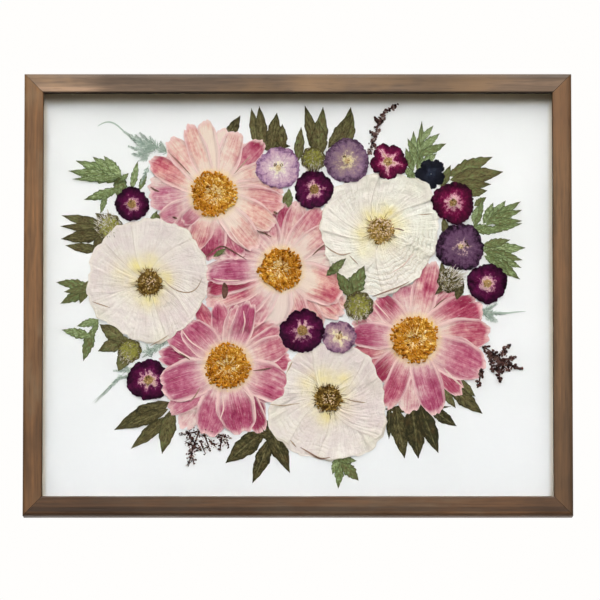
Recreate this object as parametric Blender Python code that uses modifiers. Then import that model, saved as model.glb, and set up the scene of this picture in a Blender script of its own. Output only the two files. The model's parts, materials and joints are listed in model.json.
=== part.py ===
"""Pressed flowers under glass in a stained walnut frame.

Metres, +Z up, +X to the right, the front faces -Y. The origin is where the notch of the sawtooth
hanger bears on its nail, in the plane of the rails' backs (Y = 0).
"""

import math

import bmesh
import bpy
from mathutils import Matrix, Vector

MM = 0.001

# ---------------------------------------------------------------- driving dimensions
SHEET_W = 508 * MM            # glass and boards: the standard 20 x 16 inch size
SHEET_H = 406.4 * MM
LIP = 6.35 * MM               # how far the rails' lips cover the sheets
FACE = 19 * MM                # width of a rail seen from the front
DEPTH = 30 * MM               # front to back
SHEET_PLAY = 0.75 * MM        # free space around the sheets in the rebate
LIP_THICK = 6 * MM
OUTER_ROUND = 4 * MM          # radius along the outer front edge
SIGHT_ROUND = 1.5 * MM        # radius along the inner front edge
OUTER_STEPS, SIGHT_STEPS = 5, 3     # facets round those two edges
GAP = 0.3 * MM                # between pieces that touch
MITRE_GAP = 0.2 * MM          # taken off each mitred end, along the rail

GLASS_T = 2 * MM
SPACER_T = 5 * MM
MOUNT_T = 1.5 * MM
BACKING_T = 3 * MM
SPACER_SETBACK = 1 * MM       # the ring's inner edge stays this far behind the lip's edge

POINT_L, POINT_W, POINT_T = 16 * MM, 10 * MM, 0.6 * MM
POINT_IN_WOOD = 4 * MM
HANGER_L, HANGER_H, HANGER_T = 45 * MM, 9.5 * MM, 1 * MM
HANGER_ARCH = 2 * MM          # how far the middle stands off the wood
HANGER_TEETH = 7
HANGER_TOOTH = 1.7 * MM       # depth of a notch
HANG_DROP = 11 * MM           # from the frame's top edge down to the hanger's notch

# ---------------------------------------------------------------- worked out from them
SIGHT_W, SIGHT_H = SHEET_W - 2 * LIP, SHEET_H - 2 * LIP
OUTER_W, OUTER_H = SIGHT_W + 2 * FACE, SIGHT_H + 2 * FACE
REBATE_WALL = (OUTER_W - SHEET_W) / 2 - SHEET_PLAY
TOP_Z = HANG_DROP
CENTRE_Z = TOP_Z - OUTER_H / 2
GLASS_Y = -DEPTH + LIP_THICK + GAP              # front face of each sheet, from the front backwards
SPACER_Y = GLASS_Y + GLASS_T + GAP
MOUNT_Y = SPACER_Y + SPACER_T + GAP
BACKING_Y = MOUNT_Y + MOUNT_T + GAP
POINT_Y = BACKING_Y + BACKING_T + GAP

# ---------------------------------------------------------------- where the specimens lie
# Places on the board are read in pixels of a front view in which the sight opening spans
# SIGHT_PX, and spot() turns them into metres.
SIGHT_PX = (508.5, 402.0)
BOARD_MIDDLE_PX = (297.6, 296.8)
PX = SIGHT_W / SIGHT_PX[0]
PZ = SIGHT_H / SIGHT_PX[1]
LAYER = 0.75 * MM             # one specimen lies this much above the one it covers
RIM = 0.2 * MM                # thickness of a petal or leaf at its edge
CREST = 0.2 * MM              # how much a petal or midrib rises above the rim
LEAF_STEP = 0.03 * MM         # each leaflet of a spray is this much thicker than the last
LEAFLET_STEPS = 4             # segments along a leaflet
LEAFLET_LEAN = 0.85           # below 1 the widest place moves from the middle towards the base
EDGE = 0.75 * RIM             # lowest height of a petal's edge over the flower's flat back
MERGE = 0.001 * MM            # grid points that fall together at a tip or a middle are joined
PETAL_EDGE, PETAL_HALF = 0.92, 0.45     # where a petal's four spokes run, as shares of its half
PINK_NOTCH, WHITE_NOTCH = 0.16, 0.04    # how much shorter a petal is at its edges
PINK_CORE, WHITE_CORE = 1.0 * MM, 0.8 * MM      # height of the stamens over the flat back
CORE_CREST, CORE_DIP = 0.55, 0.6        # crest's radius and middle's height, shares of the whole
EYE = 0.4                     # radius of a small flower's eye, as a share of the whole
SMALL_RISE = 0.5              # a small flower's petals rise this share of CREST
POD_SPOKES = 16
POD_DENT = 0.88               # every other spoke of a pod is shortened to this share
POD_TOP = 1.0 * MM
POD_RINGS = [(0.45, 0.9 * MM), (0.85, 0.65 * MM), (1.0, RIM)]   # (share of the radius, height)

# Large pink flowers: middle, radius of the stamen ring, layer, and the tip of every petal.
PINK_FLOWERS = {
    "pink_flower_top": ((212, 193), 22, 2, [
        (148, 158), (172, 138), (190, 128), (207, 125), (237, 133), (257, 142), (278, 168),
        (281, 197), (272, 228), (247, 258), (213, 262), (193, 250), (165, 232), (149, 207),
        (146, 190)]),
    "pink_flower_middle": ((280, 270), 21, 1, [
        (285, 205), (318, 213), (333, 240), (346, 288), (338, 315), (312, 333), (285, 338),
        (262, 332), (240, 325), (222, 312), (208, 290), (211, 268), (220, 245), (243, 215),
        (265, 207)]),
    "pink_flower_low": ((228, 367), 21, 2, [
        (288, 352), (289, 378), (286, 400), (266, 428), (243, 433), (214, 440), (188, 426),
        (171, 415), (162, 385), (160, 360), (166, 337), (180, 322), (196, 313), (215, 301),
        (235, 302), (254, 304), (270, 324), (284, 332)]),
    "pink_flower_right": ((413, 340), 23, 2, [
        (383, 292), (405, 282), (429, 261), (455, 289), (477, 300), (490, 325), (490, 342),
        (484, 364), (467, 392), (436, 414), (408, 410), (383, 408), (375, 375), (348, 352),
        (346, 335), (352, 315), (368, 300)]),
}

# Large white flowers, in the same way.
WHITE_FLOWERS = {
    "white_flower_left": ((149, 281), 13, 3, [
        (208, 270), (190, 322), (150, 347), (108, 327), (88, 282), (98, 245), (128, 223),
        (170, 222), (198, 242)]),
    "white_flower_top": ((381, 229), 13, 3, [
        (440, 218), (437, 250), (415, 282), (378, 296), (340, 282), (321, 242), (322, 205),
        (348, 176), (385, 168), (421, 180)]),
    "white_flower_bottom": ((328, 399), 13, 3, [
        (384, 392), (380, 440), (350, 456), (318, 459), (286, 447), (268, 420), (282, 395),
        (286, 368), (302, 350), (330, 342), (364, 352)]),
}

# Small flowers: middle, radius, layer, number of petals, turn of the first in degrees, notch depth.
SMALL_FLOWERS = {
    "purple_flower_left": ((131, 205), 18, 4, 8, 0, 0.06),
    "purple_flower_top": ((315, 190), 21, 5, 5, 12, 0.22),
    "purple_flower_upper": ((389, 161), 18.5, 4, 5, 62, 0.16),
    "purple_flower_right_upper": ((452, 203), 22, 5, 9, 0, 0.05),
    "purple_flower_right": ((486, 284), 20.5, 3, 6, 30, 0.12),
    "purple_flower_middle": ((302, 330), 23, 5, 7, 20, 0.10),
    "purple_flower_low_left": ((148, 379), 20.5, 1, 6, 0, 0.08),
    "black_flower": ((431, 172), 15, 1, 5, 10, 0.25),
    "lilac_flower_top": ((278, 169), 22, 3, 5, 30, 0.07),
    "violet_flower_top": ((346, 161), 23, 4, 5, 0, 0.05),
    "violet_flower_right": ((461, 247), 26, 4, 6, 0, 0.06),
    "lilac_flower_small": ((338, 338), 17, 4, 5, 0, 0.05),
}

# Leaflets are (base, tip, greatest width). Leaflets that grow together are one specimen.
LEAF_SPRAYS = {
    "leaf_left_top": (0, [
        ((122, 180), (71, 170), 14), ((120, 178), (77, 160), 12), ((120, 178), (92, 157), 12),
        ((121, 178), (103, 156), 10), ((122, 181), (74, 181), 9), ((122, 176), (116, 197), 14),
        ((119, 189), (84, 201), 10), ((106, 193), (100, 214), 6), ((120, 181), (128, 173), 5)]),
    "leaf_left_mid": (0, [
        ((90, 285), (58, 283), 9), ((90, 286), (62, 301), 9), ((88, 280), (82, 303), 9)]),
    "leaf_left_low": (0, [
        ((94, 326), (84, 361), 8), ((99, 320), (77, 328), 7), ((92, 338), (63, 330), 7),
        ((98, 320), (91, 336), 5)]),
    "leaf_bottom_left": (0, [
        ((170, 404), (115, 429), 18), ((168, 410), (123, 430), 14), ((168, 416), (133, 449), 15),
        ((172, 408), (161, 452), 17)]),
    "leaf_bottom": (0, [
        ((264, 431), (226, 462), 20), ((268, 438), (253, 482), 14), ((265, 420), (289, 471), 18),
        ((256, 433), (274, 437), 8)]),
    "leaf_bottom_small": (0, [
        ((341, 454), (338, 487), 8), ((340, 461), (357, 481), 9), ((336, 458), (356, 461), 8)]),
    "leaf_bottom_right": (0, [
        ((384, 409), (450, 409), 9), ((389, 406), (388, 439), 7), ((395, 406), (402, 458), 17),
        ((411, 404), (419, 460), 24), ((422, 406), (438, 447), 14), ((430, 408), (454, 427), 9)]),
    "leaf_right_low": (0, [((448, 387), (482, 413), 13)]),
    "leaf_right_upper": (0, [
        ((450, 178), (493, 157), 12), ((450, 179), (503, 170), 15), ((454, 184), (491, 187), 11)]),
    "leaf_right_green": (0, [
        ((468, 226), (502, 229), 11), ((474, 228), (484, 199), 9), ((486, 226), (506, 201), 13),
        ((486, 224), (520, 201), 13), ((487, 221), (522, 211), 13), ((487, 222), (522, 222), 9)]),
    "leaf_right_low_green": (0, [
        ((480, 250), (524, 247), 14), ((482, 246), (508, 240), 10), ((484, 252), (520, 262), 14),
        ((486, 254), (518, 279), 14)]),
    "leaf_top_right": (0, [
        ((417, 172), (424, 122), 12), ((417, 168), (414, 132), 10), ((417, 160), (446, 143), 8),
        ((421, 152), (438, 137), 6), ((422, 146), (434, 132), 6), ((423, 144), (430, 125), 4),
        ((416, 174), (407, 146), 8), ((417, 176), (426, 148), 14)]),
    "leaf_top_single": (0, [((225, 136), (238, 115), 8)]),
    "leaf_top_left": (0, [
        ((254, 144), (290, 146), 13), ((257, 147), (251, 108), 10), ((262, 148), (260, 106), 12),
        ((270, 150), (278, 113), 14), ((281, 150), (282, 124), 11)]),
    "leaf_top_mid": (0, [((340, 150), (351, 107), 18)]),
}

# Pale ferns and dark sprigs are built of leaflets too.
FERNS = {
    "fern_top_left": (0, [
        ((164, 154), (126, 131), 8), ((137, 138), (97, 124), 3), ((160, 155), (134, 128), 9),
        ((162, 155), (141, 130), 9), ((164, 155), (148, 136), 9), ((166, 155), (158, 138), 9),
        ((166, 153), (128, 152), 6), ((158, 152), (138, 162), 6), ((152, 148), (132, 186), 8),
        ((134, 184), (146, 170), 7)]),
    "fern_bottom_left": (0, [
        ((124, 375), (93, 403), 4), ((135, 372), (113, 372), 6), ((136, 374), (116, 382), 6)]),
    "fern_right": (0, [
        ((478, 310), (526, 311), 5), ((480, 307), (497, 321), 8), ((478, 312), (490, 305), 6)]),
}
SPRIGS = {
    "sprig_top": (0, [
        ((367, 154), (377, 122), 9), ((374, 132), (380, 110), 8), ((377, 116), (397, 104), 5),
        ((376, 128), (370, 114), 5), ((374, 142), (367, 130), 5)]),
    "sprig_right": (0, [
        ((482, 346), (504, 364), 15), ((497, 360), (509, 345), 6), ((498, 360), (516, 357), 7),
        ((500, 362), (522, 368), 6), ((498, 362), (508, 371), 9), ((496, 358), (500, 381), 10),
        ((490, 354), (477, 387), 5)]),
    "sprig_bottom_left": (0, [
        ((206, 430), (179, 434), 7), ((202, 428), (210, 451), 6), ((200, 430), (190, 452), 8),
        ((202, 452), (184, 444), 10), ((194, 446), (188, 466), 8), ((204, 430), (226, 440), 5),
        ((222, 436), (220, 450), 5)]),
}

# Seed heads: middle and radius of the pod, layer, and its bracts and tufts as leaflets.
SEED_HEADS = {
    "seed_head_left": ((108, 226), 13, 1, [
        ((106, 226), (62, 215), 10), ((106, 229), (61, 225), 9), ((106, 230), (61, 239), 11),
        ((105, 234), (67, 248), 10), ((106, 230), (90, 255), 12), ((108, 222), (95, 213), 7),
        ((106, 228), (126, 226), 9)]),
    "seed_head_low_left": ((130, 349), 12, 0, [
        ((128, 338), (98, 352), 15), ((124, 338), (101, 325), 9), ((127, 352), (121, 369), 10)]),
    "seed_head_top": ((313, 160), 13, 1, [
        ((318, 160), (303, 106), 16), ((316, 160), (324, 107), 15), ((318, 158), (316, 121), 20),
        ((303, 162), (301, 127), 10)]),
    "seed_head_middle": ((359, 304), 14, 4, [
        ((352, 300), (363, 266), 13), ((354, 298), (334, 270), 8), ((326, 275), (346, 258), 8)]),
    "seed_head_right": ((449, 281), 11, 3, [
        ((446, 284), (434, 295), 5), ((444, 282), (441, 262), 7)]),
}

# ---------------------------------------------------------------- colours
COLOURS = {
    "walnut": ((0.21, 0.125, 0.065), 0.45),
    "clear_glass": ((0.95, 0.97, 0.96), 0.05),
    "white_board": ((0.90, 0.91, 0.88), 0.85),
    "grey_board": ((0.35, 0.30, 0.24), 0.9),
    "steel": ((0.55, 0.55, 0.55), 0.35),
    "pink_petal": ((0.60, 0.22, 0.27), 0.7),
    "white_petal": ((0.75, 0.70, 0.64), 0.7),
    "purple_petal": ((0.035, 0.003, 0.012), 0.6),
    "violet_petal": ((0.26, 0.15, 0.30), 0.7),
    "olive_leaf": ((0.045, 0.045, 0.02), 0.7),
    "green_leaf": ((0.09, 0.13, 0.045), 0.7),
    "pale_fern": ((0.42, 0.50, 0.44), 0.8),
    "dark_sprig": ((0.03, 0.02, 0.022), 0.8),
    "seed_pod": ((0.16, 0.17, 0.06), 0.8),
}
GREEN_LEAVES = {"leaf_left_top", "leaf_left_mid", "leaf_left_low", "leaf_bottom_small",
                "leaf_right_green", "leaf_right_low_green", "leaf_top_right"}


# ---------------------------------------------------------------- scene and helpers
def clear_scene():
    for obj in list(bpy.data.objects):
        bpy.data.objects.remove(obj, do_unlink=True)


def new_collection(name, hidden=False):
    made = bpy.data.collections.new(name)
    made.hide_render = hidden
    bpy.context.scene.collection.children.link(made)
    return made


def finish(colour_name):
    """The Principled material of that name, made once."""
    if colour_name in bpy.data.materials:
        return bpy.data.materials[colour_name]
    colour, roughness = COLOURS[colour_name]
    material = bpy.data.materials.new(colour_name)
    material.use_nodes = True
    shader = material.node_tree.nodes["Principled BSDF"]
    shader.inputs["Base Color"].default_value = (*colour, 1)
    shader.inputs["Roughness"].default_value = roughness
    shader.inputs["Metallic"].default_value = 1.0 if colour_name == "steel" else 0.0
    return material


def add_object(name, bm, colour_name):
    """A named object of the frame's collection from a bmesh, faces turned outwards."""
    bmesh.ops.recalc_face_normals(bm, faces=bm.faces[:])
    if bm.calc_volume(signed=True) < 0:
        bmesh.ops.reverse_faces(bm, faces=bm.faces[:])
    mesh = bpy.data.meshes.new(name)
    bm.to_mesh(mesh)
    bm.free()
    obj = bpy.data.objects.new(name, mesh)
    obj.data.materials.append(finish(colour_name))
    parts.objects.link(obj)
    return obj


def as_cutter(obj):
    """Moves an object to the helpers, which stay out of a render."""
    parts.objects.unlink(obj)
    helpers.objects.link(obj)
    obj.hide_render = True
    obj.display_type = "WIRE"
    return obj


def boolean(obj, other, operation, solver="EXACT"):
    modifier = obj.modifiers.new(operation.title() + "_" + other.name, "BOOLEAN")
    modifier.operation = operation
    modifier.solver = solver
    modifier.object = other


def box(name, low, high, colour_name):
    """A box between two corners."""
    bm = bmesh.new()
    size = [b - a for a, b in zip(low, high)]
    middle = [(a + b) / 2 for a, b in zip(low, high)]
    bmesh.ops.create_cube(bm, size=1)
    bmesh.ops.scale(bm, vec=size, verts=bm.verts)
    bmesh.ops.translate(bm, vec=middle, verts=bm.verts)
    return add_object(name, bm, colour_name)


def spot(pixel):
    """Where a pixel of the front view lies on the board, as (x, z) in metres."""
    return Vector(((pixel[0] - BOARD_MIDDLE_PX[0]) * PX,
                   CENTRE_Z + (BOARD_MIDDLE_PX[1] - pixel[1]) * PZ))


def back_of_layer(layer):
    """Y of the flat back of a specimen in this layer."""
    return MOUNT_Y - GAP - layer * LAYER


# ---------------------------------------------------------------- frame
def arc(middle, radius, start, end, steps):
    """Points of a circular arc, angles in degrees."""
    turns = [math.radians(start + (end - start) * k / steps) for k in range(steps + 1)]
    return [(middle[0] + radius * math.cos(t), middle[1] + radius * math.sin(t)) for t in turns]


def rail_profile():
    """Section of a rail as (distance from the outer side, distance from the front)."""
    outer = arc((OUTER_ROUND, OUTER_ROUND), OUTER_ROUND, 180, 270, OUTER_STEPS)
    inner = arc((FACE - SIGHT_ROUND, SIGHT_ROUND), SIGHT_ROUND, 270, 360, SIGHT_STEPS)
    rebate = [(FACE, LIP_THICK), (REBATE_WALL, LIP_THICK), (REBATE_WALL, DEPTH), (0, DEPTH)]
    return outer + inner + rebate


def rail(name, length, turn):
    """A mitred rail: the section drawn out along X, each end cut back by its distance inwards.

    It is made as the bottom rail, outer side down, and turned about the frame's middle."""
    bm = bmesh.new()
    section = [bm.verts.new((0, depth - DEPTH, across)) for across, depth in rail_profile()]
    drawn = bmesh.ops.extrude_face_region(bm, geom=[bm.faces.new(section)])["geom"]
    far_end = [v for v in drawn if isinstance(v, bmesh.types.BMVert)]
    for vert in section:
        vert.co.x = -(length / 2 - vert.co.z - MITRE_GAP)
    for vert in far_end:
        vert.co.x = length / 2 - vert.co.z - MITRE_GAP
    across_frame = OUTER_H if turn in (0, 180) else OUTER_W
    bmesh.ops.translate(bm, vec=(0, 0, -across_frame / 2), verts=bm.verts)
    bmesh.ops.rotate(bm, cent=(0, 0, 0), matrix=Matrix.Rotation(math.radians(turn), 3, "Y"),
                     verts=bm.verts)
    bmesh.ops.translate(bm, vec=(0, 0, CENTRE_Z), verts=bm.verts)
    obj = add_object(name, bm, "walnut")
    obj.data.shade_smooth()
    obj.data.set_sharp_from_angle(angle=math.radians(35))
    return obj


def sheet(name, front_y, thickness, colour_name):
    """A pane or board of the full sheet size."""
    return box(name, (-SHEET_W / 2, front_y, CENTRE_Z - SHEET_H / 2),
               (SHEET_W / 2, front_y + thickness, CENTRE_Z + SHEET_H / 2), colour_name)


def spacer():
    """The white ring between glass and board, cut out of one sheet."""
    obj = sheet("spacer", SPACER_Y, SPACER_T, "white_board")
    half_w = SIGHT_W / 2 + SPACER_SETBACK
    half_h = SIGHT_H / 2 + SPACER_SETBACK
    window = box("spacer_window", (-half_w, SPACER_Y - GAP, CENTRE_Z - half_h),
                 (half_w, SPACER_Y + SPACER_T + GAP, CENTRE_Z + half_h), "white_board")
    boolean(obj, as_cutter(window), "DIFFERENCE")


def point(name, along, turn, wood):
    """A flat steel point over the backing board, its end in a slot of the rail."""
    wall = (SHEET_H if turn in (0, 180) else SHEET_W) / 2 + SHEET_PLAY

    def plate(label, margin, colour_name):
        low = (along - POINT_W / 2 - margin, POINT_Y - margin, -wall - POINT_IN_WOOD - margin)
        high = (along + POINT_W / 2 + margin, POINT_Y + POINT_T + margin,
                -wall - POINT_IN_WOOD + POINT_L + margin)
        made = box(label, low, high, colour_name)
        made.data.transform(Matrix.Translation((0, 0, CENTRE_Z))
                            @ Matrix.Rotation(math.radians(turn), 4, "Y"))
        return made

    plate(name, 0, "steel")
    boolean(wood, as_cutter(plate(name + "_slot", GAP, "walnut")), "DIFFERENCE")


def hanger():
    """A strip with teeth along its lower edge, bowed off the wood between its ends."""
    bm = bmesh.new()
    steps = 2 * HANGER_TEETH
    bmesh.ops.create_grid(bm, x_segments=steps, y_segments=1, size=1)
    for vert in bm.verts:
        across = vert.co.x
        is_notch = round((across + 1) / 2 * steps) % 2
        lower_edge = 0 if is_notch else -HANGER_TOOTH
        bow = HANGER_ARCH * math.cos(across * math.pi / 2) ** 2
        vert.co = (across * HANGER_L / 2, GAP + bow, HANGER_H if vert.co.y > 0 else lower_edge)
    obj = add_object("hanger", bm, "steel")
    thickness = obj.modifiers.new("Thickness", "SOLIDIFY")
    thickness.thickness = HANGER_T
    thickness.offset = 1
    return obj


def build_frame():
    bottom = rail("bottom_rail", OUTER_W, 0)
    left = rail("left_rail", OUTER_H, 90)
    top = rail("top_rail", OUTER_W, 180)
    right = rail("right_rail", OUTER_H, 270)
    sheet("glass", GLASS_Y, GLASS_T, "clear_glass")
    spacer()
    sheet("mount_board", MOUNT_Y, MOUNT_T, "white_board")
    sheet("backing_board", BACKING_Y, BACKING_T, "grey_board")
    quarter = SHEET_W / 4
    point("point_bottom_1", -quarter, 0, bottom)
    point("point_bottom_2", quarter, 0, bottom)
    point("point_left", 0, 90, left)
    point("point_top_1", -quarter, 180, top)
    point("point_top_2", quarter, 180, top)
    point("point_right", 0, 270, right)
    hanger()


# ---------------------------------------------------------------- specimens
def close_back(bm, back_y):
    """Gives an open relief a flat back at back_y and walls round its edge."""
    drawn = bmesh.ops.extrude_face_region(bm, geom=bm.faces[:])["geom"]
    for vert in drawn:
        if isinstance(vert, bmesh.types.BMVert):
            vert.co.y = back_y
    back = [face for face in drawn if isinstance(face, bmesh.types.BMFace)]
    bmesh.ops.dissolve_faces(bm, faces=back)


def relief_disc(middle, columns, rings, pole, back_y):
    """A closed relief round a middle point.

    columns holds an angle for each spoke. Each ring holds, for each spoke, a radius and a height
    above the flat back; pole is the height in the middle. A flat grid is wrapped into the disc:
    across the grid runs the angle, up the grid the radius."""
    bm = bmesh.new()
    spokes = len(columns)
    bmesh.ops.create_grid(bm, x_segments=spokes, y_segments=len(rings), size=1)
    for vert in bm.verts:
        spoke = round((vert.co.x + 1) / 2 * spokes) % spokes
        ring = round((vert.co.y + 1) / 2 * len(rings))
        radius, height = rings[ring - 1][spoke] if ring else (0, pole)
        angle = columns[spoke]
        vert.co = (middle.x + radius * math.cos(angle), back_y - height,
                   middle.y + radius * math.sin(angle))
    bmesh.ops.remove_doubles(bm, verts=bm.verts, dist=MERGE)
    close_back(bm, back_y)
    return bm


def petal_spokes(middle, tips, notch):
    """Four spokes a petal: (angle, reach, rise) with a rounded tip and one edge raised.

    reach falls from the petal's own length by notch times the square of the way to its edge;
    rise goes from 0 at one edge to 1 at the other, so each petal lies over the next."""
    petals = sorted((math.atan2(*(tip - middle).yx), (tip - middle).length) for tip in tips)
    spokes = []
    for number, (angle, length) in enumerate(petals):
        before = (angle - petals[number - 1][0]) % math.tau / 2
        after = (petals[(number + 1) % len(petals)][0] - angle) % math.tau / 2
        for way in (-PETAL_EDGE, -PETAL_HALF, PETAL_HALF, PETAL_EDGE):
            turn = way * (before if way < 0 else after)
            rise = (way + PETAL_EDGE) / (2 * PETAL_EDGE)
            spokes.append((angle + turn, length * (1 - notch * way * way), rise))
    return spokes


def flower(name, middle, core, layer, tips, notch, colour_name, core_height):
    """A flower with a raised ring of stamens and overlapping petals."""
    spokes = petal_spokes(middle, tips, notch)
    columns = [angle for angle, _, _ in spokes]

    def inner(share, height):
        return [(core * share, height)] * len(spokes)

    rings = [
        inner(CORE_CREST, core_height),
        inner(1, RIM + CREST),
        [(reach, EDGE + CREST * rise) for _, reach, rise in spokes],
    ]
    bm = relief_disc(middle, columns, rings, core_height * CORE_DIP, back_of_layer(layer))
    add_object(name, bm, colour_name)


def small_flower(name, middle, radius, layer, petals, turn, notch, colour_name):
    """A small flower: petals evenly round a shallow eye."""
    turns = [math.radians(turn) + math.tau * k / petals for k in range(petals)]
    tips = [middle + radius * Vector((math.cos(t), math.sin(t))) for t in turns]
    spokes = petal_spokes(middle, tips, notch)
    rings = [
        [(radius * EYE, RIM + CREST)] * len(spokes),
        [(reach, EDGE + CREST * rise * SMALL_RISE) for _, reach, rise in spokes],
    ]
    columns = [angle for angle, _, _ in spokes]
    bm = relief_disc(middle, columns, rings, RIM + CREST * SMALL_RISE, back_of_layer(layer))
    add_object(name, bm, colour_name)


def leaflet(base, tip, width, back_y, thickness):
    """A flat pointed blade from base to tip, its greatest width a little before the middle."""
    bm = bmesh.new()
    bmesh.ops.create_grid(bm, x_segments=LEAFLET_STEPS, y_segments=1, size=1)
    along = tip - base
    across = Vector((-along.y, along.x)).normalized()
    for vert in bm.verts:
        share = (vert.co.x + 1) / 2
        half = width / 2 * math.sin(math.pi * share ** LEAFLET_LEAN)
        place = base + along * share + across * vert.co.y * half
        vert.co = (place.x, back_y - thickness, place.y)
    bmesh.ops.remove_doubles(bm, verts=bm.verts, dist=MERGE)
    close_back(bm, back_y)
    return bm


def fuse_leaflets(obj, leaflets, layer, colour_name):
    """Joins leaflets to an object, each a little thicker than the last, so its edge shows."""
    for number, (base, tip, width) in enumerate(leaflets, 1):
        thickness = RIM + number * LEAF_STEP
        bm = leaflet(spot(base), spot(tip), width * PX, back_of_layer(layer), thickness)
        helper = add_object(f"{obj.name}_{number}", bm, colour_name)
        boolean(obj, as_cutter(helper), "UNION", "MANIFOLD")


def spray(name, layer, leaflets, colour_name):
    """Leaflets that grow together, as one body."""
    base, tip, width = leaflets[0]
    bm = leaflet(spot(base), spot(tip), width * PX, back_of_layer(layer), RIM)
    fuse_leaflets(add_object(name, bm, colour_name), leaflets[1:], layer, colour_name)


def seed_head(name, middle_px, radius_px, layer, leaflets):
    """A domed, lumpy pod with its bracts."""
    radius = radius_px * PX
    columns = [math.tau * k / POD_SPOKES for k in range(POD_SPOKES)]
    lumps = [1 if k % 2 else POD_DENT for k in range(POD_SPOKES)]
    rings = [[(radius * share * lump, height) for lump in lumps] for share, height in POD_RINGS]
    bm = relief_disc(spot(middle_px), columns, rings, POD_TOP, back_of_layer(layer))
    obj = add_object(name, bm, "seed_pod")
    fuse_leaflets(obj, leaflets, layer, "seed_pod")


def build_specimens():
    for name, (middle, core, layer, tips) in PINK_FLOWERS.items():
        flower(name, spot(middle), core * PX, layer, [spot(t) for t in tips], PINK_NOTCH,
               "pink_petal", PINK_CORE)
    for name, (middle, core, layer, tips) in WHITE_FLOWERS.items():
        flower(name, spot(middle), core * PX, layer, [spot(t) for t in tips], WHITE_NOTCH,
               "white_petal", WHITE_CORE)
    for name, (middle, radius, layer, petals, turn, notch) in SMALL_FLOWERS.items():
        is_pale = name.startswith(("lilac", "violet"))
        small_flower(name, spot(middle), radius * PX, layer, petals, turn, notch,
                     "violet_petal" if is_pale else "purple_petal")
    for name, (layer, leaflets) in LEAF_SPRAYS.items():
        spray(name, layer, leaflets, "green_leaf" if name in GREEN_LEAVES else "olive_leaf")
    for name, (layer, leaflets) in FERNS.items():
        spray(name, layer, leaflets, "pale_fern")
    for name, (layer, leaflets) in SPRIGS.items():
        spray(name, layer, leaflets, "dark_sprig")
    for name, (middle, radius, layer, leaflets) in SEED_HEADS.items():
        seed_head(name, middle, radius, layer, leaflets)


clear_scene()
parts = new_collection("pressed_flower_frame")
helpers = new_collection("helpers", hidden=True)
build_frame()
build_specimens()
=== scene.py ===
# %% [markdown]
# # Pressed flowers in a walnut frame
# The frame, glass and boards arrive ready made at their real size. This lesson gives them their
# finishes, and lays real petals, leaves, ferns and seed heads on the white board, one on another,
# as a flower presser would. Lengths are in metres, +Z is up and the front of the frame faces -Y.

# %% Load the frame
import json
import math

import bpy
import numpy as np
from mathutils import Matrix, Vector


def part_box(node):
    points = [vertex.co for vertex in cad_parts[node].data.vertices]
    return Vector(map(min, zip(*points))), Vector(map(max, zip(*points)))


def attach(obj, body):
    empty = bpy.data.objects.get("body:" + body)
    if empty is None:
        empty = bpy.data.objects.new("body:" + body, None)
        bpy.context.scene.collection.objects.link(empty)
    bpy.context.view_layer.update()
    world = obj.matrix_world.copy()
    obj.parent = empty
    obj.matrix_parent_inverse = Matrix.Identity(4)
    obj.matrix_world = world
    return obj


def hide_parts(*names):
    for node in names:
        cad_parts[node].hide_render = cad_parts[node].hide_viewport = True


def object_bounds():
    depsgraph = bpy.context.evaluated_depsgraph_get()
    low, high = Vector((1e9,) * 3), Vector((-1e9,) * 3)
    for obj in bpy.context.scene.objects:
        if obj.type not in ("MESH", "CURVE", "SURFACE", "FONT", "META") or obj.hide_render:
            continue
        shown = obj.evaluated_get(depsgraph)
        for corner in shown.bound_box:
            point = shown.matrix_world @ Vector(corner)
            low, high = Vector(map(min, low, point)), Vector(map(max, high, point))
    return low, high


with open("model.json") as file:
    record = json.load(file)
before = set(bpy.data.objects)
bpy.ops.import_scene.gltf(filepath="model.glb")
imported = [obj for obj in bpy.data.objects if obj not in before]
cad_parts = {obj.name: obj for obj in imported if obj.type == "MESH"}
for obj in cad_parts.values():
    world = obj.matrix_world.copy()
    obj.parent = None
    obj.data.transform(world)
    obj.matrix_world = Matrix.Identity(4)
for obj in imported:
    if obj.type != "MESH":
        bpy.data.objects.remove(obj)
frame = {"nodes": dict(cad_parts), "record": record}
cad_box = [list(corner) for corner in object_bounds()]
nodes = frame["nodes"]
MM = 0.001
print(len(nodes), "ready pieces, box", [[round(v, 4) for v in corner] for corner in cad_box])

# %% [markdown]
# ## Places on the board
# Every flower's place is read in pixels of a straight front view, in which the opening of the
# frame spans 508.5 by 402 pixels. One function turns such a place into metres. Typing metres by
# hand would work as well, but pixels of a front view can be checked by eye.

# %% Pixels of the front view to metres
SIGHT_W, SIGHT_H = 495.3 * MM, 393.7 * MM
SIGHT_PX = (508.5, 402.0)
BOARD_MIDDLE_PX = (297.6, 295.4)
PX = SIGHT_W / SIGHT_PX[0]
PZ = SIGHT_H / SIGHT_PX[1]
board_low, board_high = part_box("mount_board")
BOARD_Y = board_low.y
CENTRE_Z = (board_low.z + board_high.z) / 2


def spot(pixels):
    """(x, z) in metres of one pixel place or an array of them: the offset from the middle of the
    board, times the size of a pixel."""
    offset = np.asarray(pixels, float) - BOARD_MIDDLE_PX
    return offset * (PX, -PZ) + (0, CENTRE_Z)


print("one pixel is", round(PX / MM, 3), "mm across")

# %% [markdown]
# ## Camera
# The frame is seen from a little below its middle, so that the underside of the bottom rail and
# the shadow under the top rail both show. A long lens from far away keeps the edges parallel, as
# in a picture meant for a catalogue.

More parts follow.
